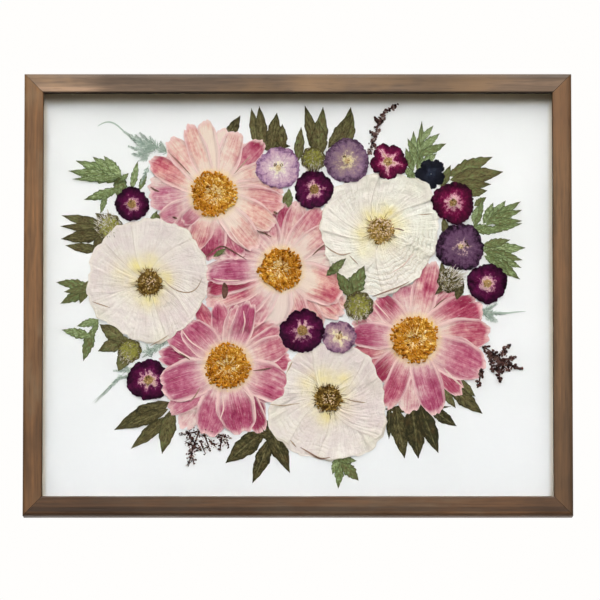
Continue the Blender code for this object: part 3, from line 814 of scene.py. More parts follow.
# %% [markdown]
# ## Sprays of leaves
# The leaves lie in sprays under the flowers and look out between them. Leaves strewn by chance
# would be quicker, but they wouldn't lie where the real ones do. So each blade has its own base,
# tip and width. A spray is one specimen of the real picture, and so it is one piece here.

# %% Sprays of leaves
LOOSE_BITS = "leaf_loose_bits"     # a bud and scraps of leaf that lie on the flowers

# Sprays of leaves: how green they are, and for each blade its base, tip and greatest width.
LEAF_SPRAYS = {
    "leaf_left_top": (0.74, [
        ((122, 180), (71, 170), 14), ((120, 178), (76, 159), 12), ((118, 177), (68, 169), 9),
        ((120, 178), (92, 157), 12), ((121, 178), (103, 156), 10), ((121, 177), (72, 181), 7),
        ((122, 176), (116, 197), 14),
        ((119, 189), (84, 201), 10), ((106, 193), (100, 214), 6), ((120, 181), (128, 173), 5),
        ((131, 190), (137, 161), 7), ((139, 190), (146, 172), 6)]),
    "leaf_left_mid": (0.5, [
        ((90, 286), (56, 283), 10), ((90, 289), (60, 303), 11), ((88, 281), (80, 304), 10),
        ((91, 289), (64, 293), 8)]),
    "leaf_left_low": (0.7, [
        ((93, 328), (83, 361), 11), ((99, 320), (77, 327), 8), ((92, 337), (62, 329), 10),
        ((98, 320), (91, 338), 6)]),
    "leaf_bottom_left": (0.3, [
        ((170, 402), (114, 428), 19), ((168, 409), (122, 429), 13), ((168, 416), (132, 449), 13),
        ((173, 408), (161, 453), 16)]),
    "leaf_bottom": (0.12, [
        ((264, 430), (226, 463), 20), ((270, 438), (254, 483), 15), ((266, 420), (290, 472), 18),
        ((256, 433), (274, 437), 8)]),
    "leaf_bottom_small": (0.66, [
        ((340, 454), (338, 488), 10), ((338, 456), (332, 474), 8), ((341, 461), (358, 480), 12),
        ((336, 458), (356, 461), 8)]),
    "leaf_bottom_right": (0.12, [
        ((384, 409), (450, 409), 9), ((389, 406), (388, 439), 7), ((395, 406), (403, 458), 17),
        ((411, 404), (418, 458), 21), ((420, 406), (436, 453), 17), ((430, 408), (455, 427), 12)]),
    "leaf_right_low": (0.42, [((440, 386), (455, 408), 9), ((452, 378), (475, 396), 11),
                              ((448, 386), (482, 413), 15)]),
    "leaf_right_upper": (0.44, [
        ((448, 176), (492, 156), 15), ((450, 180), (503, 172), 17), ((454, 185), (491, 184), 11),
        ((466, 194), (487, 190), 9), ((447, 238), (443, 217), 8), ((441, 188), (450, 165), 9),
        ((474, 206), (486, 197), 7)]),
    "leaf_right_green": (0.75, [
        ((468, 228), (502, 232), 10), ((474, 228), (484, 199), 8), ((483, 224), (494, 203), 8),
        ((484, 231), (522, 224), 8), ((486, 226), (506, 201), 11),
        ((486, 224), (520, 201), 10), ((487, 221), (522, 211), 9), ((487, 222), (522, 222), 8),
        ((472, 222), (478, 206), 6)]),
    "leaf_right_low_green": (0.73, [
        ((480, 250), (525, 247), 13), ((482, 246), (510, 240), 9), ((484, 252), (522, 260), 11),
        ((490, 254), (521, 268), 9), ((486, 254), (519, 280), 12), ((484, 256), (507, 270), 8)]),
    "leaf_top_right": (0.78, [
        ((418, 176), (423, 121), 9), ((414, 168), (413, 131), 9), ((418, 156), (446, 143), 9),
        ((420, 149), (440, 134), 8), ((420, 142), (433, 125), 6), ((418, 168), (436, 153), 9),
        ((413, 172), (405, 148), 8), ((415, 180), (404, 166), 8), ((417, 160), (408, 138), 7)]),
    "leaf_top_single": (0.3, [((226, 140), (239, 115), 11)]),
    "leaf_top_left": (0.38, [
        ((254, 144), (290, 146), 13), ((257, 147), (251, 108), 10), ((262, 148), (260, 106), 12),
        ((270, 150), (278, 113), 14), ((281, 150), (282, 124), 11)]),
    "leaf_top_mid": (0.36, [((344, 152), (351, 107), 15), ((332, 150), (350, 113), 15),
                           ((328, 148), (344, 124), 9)]),
    LOOSE_BITS: (0.6, [
        ((288, 208), (289, 188), 8), ((283, 204), (286, 192), 4), ((150, 222), (157, 211), 5),
        ((213, 257), (226, 249), 5), ((370, 176), (366, 182), 4), ((155, 214), (160, 220), 4)]),
}


def leaf_spray(name, seed):
    """All blades of one spray, each a little greener or darker than the next."""
    rng = np.random.default_rng(seed)
    tone, blades = LEAF_SPRAYS[name]
    shapes = [leaf_blade(*one, tone + rng.uniform(-0.13, 0.1), rng) for one in blades]
    slot = "green_leaves" if name in GREEN_NODES else "olive_leaves"
    build(name + "_blades", shapes, leaf_look, [name] if name in nodes else [])


GREEN_NODES = {row["node"] for row in frame["record"]["subparts"]
               if row["material_slot"] == "green_leaves"}
print(sum(len(blades) for _, blades in LEAF_SPRAYS.values()), "leaf blades in",
      len(LEAF_SPRAYS), "sprays")

# %% [markdown]
# ## Dry plant surfaces and narrow sheets
# Much of the picture is narrow and dry: leaflets, stalks, and the brown lines along petals, partly
# folds that dried so and partly painted shade where one petal lies over another. They need no veins,
# so one plain finish with a few shades does for them all, and two shapes: a small blade from root to
# tip, and a thin raised line along a path.

# %% Dry surfaces and narrow sheets


def plant_finish(name, shades, roughness=0.8, scale=260.0):
    """A dry plant surface: tone picks the shade, noise in the material mottles it."""
    dry = Finish(name, Roughness=roughness, Specular_IOR_Level=0.1)
    mottle = dry.noise(dry.place(), scale, 4.0, 0.65)
    amount = dry.marks("tone")[0] + (mottle - 0.5) * 0.8
    last = len(shades) - 1
    dry.set(Base_Color=dry.ramp(amount, [(k / last, shade) for k, shade in enumerate(shades)]))
    dry.bump(mottle, 0.0002)
    return dry


def thin_blade(root, tip, half, rng, tone, under, lift=0.0, thick=0.1 * MM, rows=6):
    """A narrow sheet between two places in metres, rounded across, with no veins."""
    along, across = sheet_grid(rows, 3)
    outline = np.maximum(np.sin(np.pi * (0.1 + 0.88 * along)), 0.15)
    x, z = blade(root, tip, half, outline, 1.0, rng.uniform(-0.08, 0.08))
    return laid_sheet(x, z, lift + thick * (1 - across ** 2), thick, under, tone=tone)


def fold(path_px, half_px, tone, rows=18):
    """A narrow raised line along a path of pixel places, tapering to both ends."""
    points = spot(path_px)
    steps = np.concatenate([[0], np.cumsum(np.hypot(*np.diff(points, axis=0).T))])
    share = np.linspace(0, steps[-1], rows)
    centre = np.stack([np.interp(share, steps, points[:, k]) for k in (0, 1)], -1)
    for _ in range(3):
        centre[1:-1] = (centre[:-2] + centre[1:-1] + centre[2:]) / 3
    way = np.gradient(centre, axis=0)
    way /= np.hypot(way[:, 0], way[:, 1])[:, None]
    along, across = sheet_grid(rows, 5)
    aside = half_px * PX * across * np.sqrt(np.sin(np.pi * np.clip(along, 0.02, 0.98)))
    x = centre[:, 0, None] - aside * way[:, 1, None]
    z = centre[:, 1, None] + aside * way[:, 0, None]
    return laid_sheet(x, z, 0.06 * MM * (1 - across ** 2), 0.03 * MM, along=along, across=across,
                      tone=tone)


print("narrow sheets ready")

# %% [markdown]
# ## Ferns
# Fern fronds are pale grey-green and very fine: a stalk with a comb of narrow leaflets on both
# sides, and bare where it runs out beyond them. All that would be lost in a flat blade, so each
# leaflet is a small sheet of its own. The leaflets grow between each other, so they all lie on the
# ground as it was before the fern, and don't pile up.

# %% Ferns
fern_look = plant_finish("pale_fern", [(118, 136, 122), (160, 178, 164), (204, 218, 206)])

# The fronds of each fern: base, tip and width.
FERNS = {
    "fern_top_left": [
        ((155, 153), (123, 131), 9), ((152, 152), (129, 137), 9), ((155, 152), (139, 132), 9),
        ((157, 150), (149, 136), 8), ((163, 150), (160, 141), 6), ((152, 154), (127, 146), 8),
        ((150, 156), (131, 154), 8), ((148, 158), (138, 161), 6), ((155, 151), (146, 138), 7),
        ((152, 153), (134, 134), 8), ((148, 166), (140, 185), 6), ((168, 150), (168, 143), 5),
        ((168, 153), (152, 145), 9), ((166, 153), (159, 143), 7)],
    "fern_bottom_left": [
        ((124, 373), (94, 404), 5), ((135, 371), (113, 371), 6), ((136, 374), (115, 380), 6),
        ((130, 370), (117, 362), 5), ((162, 343), (142, 358), 7), ((160, 350), (140, 352), 6),
        ((152, 358), (146, 344), 6), ((170, 338), (156, 350), 6)],
    "fern_right": [
        ((478, 313), (506, 314), 8), ((480, 309), (498, 322), 7), ((482, 312), (497, 304), 6),
        ((478, 313), (491, 308), 6), ((484, 316), (495, 323), 6)],
}

# Bare stalks of a fern, as paths.
FERN_STALKS = {
    "fern_top_left": [(97, 126), (102, 122.5), (108, 121), (114, 123), (120, 128), (129, 137)],
    "fern_right": [(525, 311.5), (516, 312), (506, 313.5), (494, 313.5), (484, 313)]}
LEAFLET_STEP = 1.5 * MM       # between leaflets along a frond
LEAFLET_HALF = 0.42 * MM      # half a leaflet's width


def frond(base, tip, width, rng, under):
    """A stalk and a comb of leaflets at about 45 degrees on both sides, shorter towards the tip.
    Each leaflet lies a hair higher or lower than the next."""
    root, end = spot(base), spot(tip)
    way = end - root
    length = np.hypot(*way)
    shapes = [thin_blade(root, end, 0.35 * MM, rng, 0.25, under, 0.2 * MM)]
    pairs = max(int(length / LEAFLET_STEP), 3)
    for share in np.linspace(0.08, 0.95, pairs):
        start = root + way * share
        reach = width * PX * 0.75 * (1.15 - share) * rng.uniform(0.75, 1.2)
        for turn in (-1, 1):
            angle = math.atan2(way[1], way[0]) + turn * rng.uniform(0.55, 0.95)
            leaflet_tip = start + reach * np.array((math.cos(angle), math.sin(angle)))
            shapes.append(thin_blade(start, leaflet_tip, LEAFLET_HALF, rng, rng.uniform(0.1, 0.9),
                                     under, rng.uniform(0, 0.45 * MM)))
    return shapes


def fern(name, seed):
    """All fronds of one fern."""
    rng = np.random.default_rng(seed)
    under = ground.copy()
    shapes = [one for row in FERNS[name] for one in frond(*row, rng, under)]
    if name in FERN_STALKS:
        shapes.append(fold(FERN_STALKS[name], 0.8, 0.7))
    build(name + "_fronds", shapes, fern_look, [name])


print(len(FERNS), "ferns")

# %% [markdown]
# ## Dark sprigs
# The dark sprigs are dried stems crowded with round buds. Painted on a blade the buds would be a
# dark smear, so each is a bead. They swell out round the middle of their stalk, and are pale here
# and there, where one had begun to open.

# %% Dark sprigs
sprig_look = plant_finish("dark_sprig", [(40, 28, 28), (82, 52, 48), (120, 94, 86), (214, 208, 202)])
BUD_STEP = 0.55 * MM          # of stalk to each bud

# For each sprig: size of its buds in millimetres, the lightest tone among them, and its stalks.
SPRIGS = {
    "sprig_top": (1.25, 0.8, [
        ((369, 155), (374, 138), 8), ((373, 142), (379, 122), 7), ((378, 126), (385, 111), 6),
        ((382, 114), (398, 104), 5), ((376, 136), (370, 131), 4), ((380, 124), (375, 117), 4)]),
    "sprig_right": (1.35, 0.6, [
        ((482, 346), (498, 358), 10), ((484, 352), (500, 362), 9), ((497, 358), (509, 345), 7),
        ((498, 360), (516, 357), 7), ((500, 362), (522, 369), 7), ((498, 362), (508, 371), 9),
        ((497, 358), (500, 382), 10), ((489, 356), (492, 372), 6), ((481, 368), (477, 388), 6)]),
    "sprig_bottom_left": (0.8, 1.1, [
        ((206, 430), (179, 434), 9), ((202, 428), (210, 451), 8), ((200, 430), (190, 452), 9),
        ((202, 450), (184, 441), 11), ((194, 446), (187, 466), 10), ((204, 430), (232, 438), 7),
        ((222, 436), (219, 451), 8), ((186, 430), (196, 446), 8), ((200, 440), (205, 454), 8),
        ((190, 448), (195, 464), 7), ((226, 436), (228, 448), 6), ((208, 438), (216, 448), 7)]),
}


def sprig(name, seed):
    """Stalks with round buds crowded along them, the largest where the blade is widest."""
    rng = np.random.default_rng(seed)
    shapes = []
    bud_size, lightest, stalks = SPRIGS[name]
    under = ground.copy()
    for base, tip, width in stalks:
        root, end = spot(base), spot(tip)
        shapes.append(thin_blade(root, end, 0.8 * MM, rng, 0.2, under, thick=0.3 * MM))
        count = int(np.hypot(*(end - root)) / BUD_STEP)
        share = rng.uniform(0.05, 1.0, count)
        swell = np.sin(np.pi * np.clip(share, 0.1, 0.93)) * width * PX * 0.5
        side = np.array((-(end - root)[1], (end - root)[0])) / np.hypot(*(end - root))
        aside = swell * rng.uniform(-1, 1, count)
        place = root + (end - root) * share[:, None] + side * aside[:, None]
        size = rng.uniform(0.45, 1.15, count) * bud_size * MM
        height = ground_at(place[:, 0], place[:, 1]) + size * 0.5
        sizes = np.stack([size * 1.3, size * 0.5, size * 0.9], -1)
        turns = rng.uniform(0, np.pi, count)
        tone = lightest * rng.uniform(0, 1, count) ** 1.5
        shapes.append(beads(at_height(place[:, 0], place[:, 1], height), sizes, turns, tone=tone))
    build(name + "_buds", shapes, sprig_look, [name])


print(len(SPRIGS), "sprigs")

# %% [markdown]
# ## Seed heads
# A seed head is a small knobbly pod with pointed bracts behind it and a tuft of fine hairs at
# its mouth. The pod could be carved scale by scale, but at this size a disc drawn up into a dome,
# whose relief is a spiral of scales, looks the same. The hairs are threads that lean one way.

# %% Seed heads
pod_look = plant_finish("seed_pod", [(74, 66, 40), (116, 112, 54), (164, 164, 70), (202, 200, 128)],
                        0.8, 420.0)
tuft_look = plant_finish("seed_tuft", [(64, 48, 48), (120, 108, 80), (164, 156, 112), (204, 194, 178),
                                       (236, 232, 226)])

# Middle and radius of the pod, its shade, how green its bracts are, the way its tuft points in
# degrees, the tuft's length as a share of the radius, its mean tone, and the bracts as blades.
SEED_HEADS = {
    "seed_head_left": ((109, 227), 13, 0.55, 0.3, 125, 0.65, 0.6, [
        ((106, 226), (61, 217), 11), ((106, 229), (60, 226), 9), ((106, 233), (61, 240), 14),
        ((101, 250), (65, 247), 10), ((106, 230), (92, 256), 12), ((108, 222), (95, 213), 7),
        ((106, 228), (126, 226), 9)]),
    "seed_head_low_left": ((129.5, 350.5), 12, 0.6, 0.38, 235, 0.35, 0.3, [
        ((128, 338), (98, 351), 15), ((124, 341), (100, 324), 15), ((127, 352), (118, 371), 13)]),
    "seed_head_top": ((313, 159), 12.5, 0.48, 0.4, 270, 0.35, 0.45, [
        ((321, 160), (303, 106), 14), ((317, 160), (324, 107), 15), ((319, 158), (317, 121), 17),
        ((297, 162), (302, 127), 10)]),
    "seed_head_middle": ((358.5, 306), 14.5, 0.5, 0.58, 270, 0.45, 0.5, [
        ((349, 300), (364, 266), 17), ((353, 299), (337, 272), 12), ((326, 276), (346, 259), 9)]),
    "seed_head_right": ((449, 281), 12, 0.0, 0.3, 40, 1.0, 0.6, [
        ((446, 284), (434, 295), 5), ((444, 282), (441, 262), 7), ((456, 300), (463, 278), 9)]),
}
HAIRS = 420


def seed_head(name, seed):
    """Bracts, pod and tuft of one seed head."""
    rng = np.random.default_rng(seed)
    middle_px, radius_px, pod_tone, tone, tuft_way, reach, tuft_tone, bracts = SEED_HEADS[name]
    blades = [leaf_blade(*one, tone + rng.uniform(-0.06, 0.08), rng) for one in bracts]
    build(name + "_bracts", blades, leaf_look)
    middle, radius = spot(middle_px), radius_px * PX
    p, q = disc_grid(21)
    r, angle = np.hypot(p, q), np.arctan2(q, p)
    outline = radius * (1 + 0.05 * np.sin(angle * 9 + seed))
    scales = np.sin(angle * 8 + r * 9) * np.sin(r * 15 - angle * 2)
    relief = 0.9 * MM * np.sqrt(np.maximum(1 - r ** 2, 0)) + 0.14 * MM * scales * (1 - r ** 4)
    x, z = middle[0] + p * outline, middle[1] + q * outline
    tone_grid = pod_tone + 0.25 * scales - 0.5 * np.clip(r * 4 - 2.6, 0, 1)
    pod = laid_sheet(x, z, np.maximum(relief, 0), 0.1 * MM, tone=tone_grid)
    build(name + "_pod", [pod], pod_look, [name])
    r, angle = scatter(rng, HAIRS, 0.0, 1.0)
    lean = math.radians(tuft_way)
    push = radius * reach * rng.uniform(0.3, 1.0, HAIRS) * (0.35 + 0.65 * np.cos(angle - lean) ** 2)
    start = around(middle, r * radius, angle)
    way = np.where(rng.uniform(size=HAIRS) < 0.5, angle, rng.uniform(0, 2 * np.pi, HAIRS))
    end = start + (0.4 * push)[:, None] * np.stack([np.cos(way), np.sin(way)], -1)
    end += (0.5 * push * r)[:, None] * np.array((math.cos(lean), math.sin(lean)))
    level = np.maximum(ground_at(*start.T), ground_at(*end.T)) + 0.1 * MM
    shade = tuft_tone + 0.2 * np.cos(angle - lean) * r + rng.normal(0, 0.3, HAIRS)
    hairs = threads(at_height(*start.T, level), at_height(*end.T, level), 0.26 * MM, 0.12 * MM,
                    tone=np.clip(shade, 0, 1))
    build(name + "_tuft", [hairs], tuft_look)


print(len(SEED_HEADS), "seed heads")

# %% [markdown]
# ## Pink of the large flowers
# A pressed petal keeps its colour in streaks: deeper where the sap dried, frosted and pale where
# the skin lifted, paler again at the rim and at the root. A painted picture could hold all that
# only once. Here the streaks are noise drawn out along each petal's own length, and every petal
# says how deep and how warm its pink is.

# %% Pink finish


def pink_finish():
    """Pink petals: lengthwise streaks deepen the tone, and a cool and a warm ramp from pale to deep
    are mixed by warmth."""
    pink = Finish("pink_petal", Roughness=0.72, Specular_IOR_Level=0.12)
    along, across, tone, warm, seed, out = pink.marks("along across tone warm seed out")
    own = seed * 40.0
    streaks = pink.noise(pink.vector(across * 5.0, along, own), 1.6, 5.0, 0.62)
    fine = pink.noise(pink.vector(across * 22.0, along * 1.6, own), 1.7, 3.0, 0.6)
    frost = pink.noise(pink.vector(across * 9.0, along * 2.6, own), 1.9, 5.0, 0.7)
    blotch = pink.noise(pink.place(), 210.0, 4.0, 0.6)
    specks = pink.noise(pink.place(), 620.0, 3.0, 0.7)
    depth = tone + (streaks - 0.5) * 0.9 + (fine - 0.5) * 0.6 + (blotch - 0.5) * 0.9
    depth = depth - pink.step(out, 1.05, 2.0, 0.35, 0.0)
    cool = pink.ramp(depth, [(0.0, (234, 216, 212)), (0.25, (216, 172, 178)), (0.5, (196, 120, 144)),
                             (0.72, (176, 80, 116)), (1.0, (142, 42, 80))])
    warm_side = pink.ramp(depth, [(0.0, (238, 222, 204)), (0.25, (232, 190, 172)),
                                  (0.5, (214, 142, 138)), (0.72, (194, 86, 102)),
                                  (1.0, (160, 44, 66))])
    off = abs(across)
    # Painted shade along the sides of each petal, inside the pale rim, where the next petal lies over it.
    painted_side_shade = pink.step(off, 0.5, 0.72, 0.0, 0.42) * pink.step(fine, 0.35, 0.6)
    rim = pink.maths("MAXIMUM", pink.step(off, 0.70, 0.93), pink.step(along, 0.90, 0.985))
    rim = rim * pink.step(streaks, 0.32, 0.58, 0.2, 0.95)
    hem = pink.step(off, 0.965, 0.99, 0.0, 0.5) * pink.step(blotch, 0.4, 0.6)
    root_line = pink.step(out, 1.1, 2.2, 0.75, 0.0) * pink.step(fine, 0.45, 0.62)
    stain = pink.step(specks, 0.64, 0.74, 0.0, 0.4) * pink.step(along, 0.8, 1.0)
    base = pink.coats(
        pink.blend(warm, cool, warm_side),
        (painted_side_shade, (150, 70, 96)), (pink.step(frost, 0.54, 0.7, 0.0, 0.6), (232, 204, 202)),
        (rim, (242, 212, 208)), (hem, (150, 96, 96)), (root_line, (238, 216, 204)),
        (pink.step(out, 0.98, 1.32, 0.7, 0.0), (240, 216, 174)), (stain, (140, 92, 72)))
    pink.set(Base_Color=base, Roughness=pink.step(blotch, 0.3, 0.7, 0.6, 0.85))
    pink.bump(fine + streaks, 0.0004, 0.8)
    return pink


pink_look = pink_finish()
print("pink finish of", len(pink_look.tree.nodes), "nodes")

# %% [markdown]
# ## Long petals
# The large pink flowers have long petals, and each is a growth of its own: it starts under the
# stamens and lies over its neighbour, with a thin shadow between them. So each is a sheet of its
# own as well, placed by its tip and its half width, which are read off the front view. It has long
# ridges, slow waves, notches at the tip, and a rim that curls up as it dries.

# %% Long petals
PETAL_THICK = 0.12 * MM


def blobs(x, z, spots_px):
    """Sum of soft spots on the board: strength times exp(-(distance / radius) squared), at most 1."""
    total = np.zeros_like(x)
    for middle_px, radius_px, strength in spots_px:
        middle = spot(middle_px)
        far = np.hypot(x - middle[0], z - middle[1]) / (radius_px * PX)
        total += strength * np.exp(-far ** 2)
    return np.minimum(total, 1)


def long_petal(middle, ring, tip, half_px, tone, warm, tip_tone, patches, rng, rows=28, columns=19):
    """A long petal with its root under the stamens. patches are soft spots of more or less pink.

    Its half width times sin(pi * (0.12 + 0.60 along)) to the power 0.7. The tip goes back by a
    share of the length at its corners, and has small notches of its own."""
    root = middle + (tip - middle) / np.hypot(*(tip - middle)) * ring * 0.55
    along, across = sheet_grid(rows, columns)
    phase = rng.uniform(0, 6, 5)
    width = np.sin(np.pi * (0.12 + 0.60 * along)) ** 0.7
    width = width * (1 + 0.03 * np.sin(along * 11 + phase[0] + across))
    notch = 0.045 * np.exp(-((across - rng.uniform(-0.5, 0.5)) / 0.15) ** 2)
    notch = notch + 0.012 * np.sin(across * 8 + phase[1]) + 0.008 * np.sin(across * 19 + phase[4])
    front = 1 - 0.19 * np.abs(across) ** 2.8 - notch * along ** 3
    x, z = blade(root, tip, half_px * PX, width, front, rng.uniform(-0.06, 0.06))
    ridges = 0.07 * MM * (1 + np.sin(across * 13 + phase[2] + 0.8 * np.sin(along * 5)))
    waves = 0.10 * MM * (1 + np.sin(along * 9 + phase[3] + across * 2.2))
    curl = 0.17 * MM * np.abs(across) ** 5 + 0.11 * MM * along ** 8
    relief = (ridges + waves) * along ** 0.6 + curl
    deepening = 0.42 + 0.58 * np.sin(np.pi * (0.1 + 0.62 * along))
    shade = tone * deepening + tip_tone * np.exp(-((1 - along) / 0.22) ** 2) + blobs(x, z, patches)
    out = np.hypot(x - middle[0], z - middle[1]) / ring
    return laid_sheet(x, z, relief, PETAL_THICK, along=along, across=across, tone=shade,
                      warm=warm, seed=rng.uniform(), out=out)


print("petals", round(PETAL_THICK / MM, 2), "mm thick")

# %% [markdown]
# ## Where the pink petals lie
# Petals spread evenly by a formula would make a daisy. The real flowers were pushed about when they
# were pressed, and hide each other in part. So every petal that shows has its own line here, in the
# order in which they lie on each other.

# %% Where the pink petals lie
# Middle, radius of the ring of stamens, and the petals in the order they are laid:
# tip, half width, depth of pink, warmth, and for some how much deeper the tip is.
PINK_FLOWERS = {
    "pink_flower_middle": ((280.3, 269.5), 21, [
        ((295, 201), 9, 0.5, 0.4), ((286, 203), 9, 0.6, 0.35), ((262, 214), 10, 0.5, 0.4),
        ((240, 224), 11, 0.45, 0.35), ((217, 250), 12, 0.45, 0.2), ((301, 205), 9, 0.35, 0.5),
        ((319, 206), 11, 0.45, 0.5, 0.1), ((330, 238), 10, 0.4, 0.5, 0.2),
        ((339, 264), 12, 0.02, 0.5), ((327, 226), 10, 0.35, 0.6), ((330, 318), 13, 0.4, 0.8),
        ((341, 318), 11, 0.35, 0.8), ((318, 330), 10, 0.4, 0.7), ((302, 334), 13, 0.5, 0.6),
        ((344, 292), 17, 0.45, 0.9), ((276, 324), 14, 0.12, 0.5),
        ((250, 324), 11, 0.45, 0.3), ((232, 324), 11, 0.5, 0.3), ((207, 306), 12, 0.4, 0.6),
        ((203, 289), 10, 0.8, 0.55, 0.1), ((205, 270), 12, 0.55, 0.0)]),
    "pink_flower_top": ((213, 194.5), 22, [
        ((262, 140), 10, 0.55, 0.45, 0.2), ((278, 164), 12, 0.28, 0.8), ((282, 186), 11, 0.35, 0.75),
        ((148, 184), 12, 0.3, 0.3), ((149, 203), 13, 0.5, 0.1), ((160, 224), 11, 0.45, 0.15),
        ((176, 236), 10, 0.4, 0.3), ((222, 128), 11, -0.05, 0.7), ((284, 203), 13, 0.46, 0.75),
        ((149, 161), 11, 0.5, 0.9, 0.3), ((237, 260), 11, 0.5, 0.3, 0.1),
        ((171, 137), 11, 0.25, 0.8), ((239, 132), 11, 0.34, 0.75), ((276, 223), 12, 0.3, 0.95),
        ((213, 261), 13, 0.55, 0.3, 0.15), ((204, 120), 10, 0.16, 0.95, 0.08),
        ((188, 124), 9, 0.32, 0.9, 0.1), ((255, 250), 12, 0.28, 0.8), ((195, 250), 11, 0.4, 0.7),
        ((184, 225), 7, 0.75, 0.15)]),
    "pink_flower_low": ((227.5, 366.7), 22, [
        ((198, 302), 8, 0.6, 0.6), ((216, 302), 9, 0.62, 0.3), ((235, 305), 9, 0.55, 0.35),
        ((272, 322), 10, 0.6, 0.5), ((284, 331), 9, 0.6, 0.4), ((291, 358), 11, 0.75, 0.4),
        ((253, 303), 10, 0.8, 0.1), ((184, 430), 11, 0.15, 0.3), ((172, 415), 11, 0.6, 0.15),
        ((265, 431), 10, 0.95, 0.2), ((289, 345), 12, 0.5, 0.4), ((289, 387), 17, 0.68, 0.2),
        ((159, 353), 11, 0.85, 0.05), ((168, 334), 11, 0.7, 0.1),
        ((188, 322), 14, 0.75, 0.15), ((207, 436), 15, 0.64, 0.15), ((161, 388), 18, 0.66, 0.05),
        ((240, 434), 17, 0.74, 0.15)]),
    "pink_flower_right": ((414.5, 339.3), 23, [
        ((350, 353), 9, 0.55, 0.7, 0.2), ((353, 319), 10, 0.5, 0.4), ((457, 292), 9, 0.5, 0.4),
        ((460, 395), 9, 0.8, 0.4), ((365, 309), 11, 0.5, 0.3), ((371, 381), 10, 0.85, 0.5),
        ((402, 284), 13, 0.5, 0.25),
        ((430, 261), 12, 0.5, 0.5), ((378, 296), 11, 0.75, 0.4), ((349, 333), 12, 0.75, 0.1),
        ((479, 301), 17, 0.75, 0.5), ((490, 333), 15, 0.62, 0.6), ((483, 371), 18, 0.66, 0.2),
        ((405, 413), 12, 0.45, 0.35), ((386, 409), 10, 0.7, 0.4), ((434, 415), 13, 0.75, 0.1)]),
}

print(sum(len(petals) for _, _, petals in PINK_FLOWERS.values()), "long petals")

# %% [markdown]
# ## Pink flowers
# A flower is put together as it grew. Under the petals that show there is a row of hidden ones, so
# no board shines through the gaps. Then come the petals one by one, the patches where their pink is
# deeper or bleached, and raised lines: edges that dried dark and curled up, whose dark shade is partly
# painted shade where one petal lies over another, and a few pale ridges.

# %% Pink flowers
UNDER_PETALS, UNDER_HALF = 13, 14     # how many hidden petals, and their half width in pixels
UNDER_REACH = {"pink_flower_middle": 1.02, "pink_flower_top": 0.86, "pink_flower_low": 0.84,
               "pink_flower_right": 0.84}
PETAL_SPREAD = 1.16           # petals overlap this much more than their visible halves show

# Where the pink is patchy: middle and radius of a soft spot, and how much deeper (or paler) it is.
PINK_PATCHES = {
    "pink_flower_middle": [
        ((284, 216), 6, 0.4), ((240, 288), 8, 0.55), ((211, 283), 7, 0.4), ((216, 258), 10, -0.5),
        ((308, 282), 12, -0.5), ((278, 312), 14, -0.5), ((228, 270), 9, 0.25), ((331, 293), 9, 0.3),
        ((255, 236), 10, -0.2), ((305, 240), 9, -0.3), ((220, 300), 8, -0.2)],
    "pink_flower_top": [
        ((204, 140), 14, -0.25), ((219, 148), 13, -0.3), ((240, 146), 9, -0.15), ((157, 178), 7, -0.4),
        ((258, 142), 7, 0.4), ((213, 242), 10, 0.2), ((190, 222), 8, 0.3),
        ((206, 255), 7, 0.5), ((246, 256), 6, 0.5), ((262, 176), 9, -0.2), ((230, 222), 9, -0.3),
        ((168, 200), 9, -0.15)],
    "pink_flower_low": [
        ((262, 416), 10, 0.5), ((240, 415), 10, 0.15), ((198, 311), 6, 0.4), ((216, 314), 6, 0.3),
        ((223, 400), 6, -0.4), ((170, 383), 10, 0.15), ((166, 400), 10, -0.2), ((275, 378), 9, -0.3),
        ((246, 345), 9, -0.1), ((232, 320), 8, -0.3), ((268, 395), 8, 0.2)],
    "pink_flower_right": [
        ((466, 300), 9, 0.35), ((389, 303), 8, 0.35), ((383, 371), 10, 0.35), ((426, 288), 7, 0.3),
        ((419, 286), 4, -0.5), ((446, 366), 12, -0.15), ((418, 393), 9, -0.5), ((398, 406), 7, -0.5),
        ((357, 341), 9, 0.2), ((376, 322), 8, -0.3), ((480, 330), 8, 0.2), ((470, 385), 9, -0.3),
        ((446, 322), 8, -0.25), ((404, 300), 8, -0.3)],
}

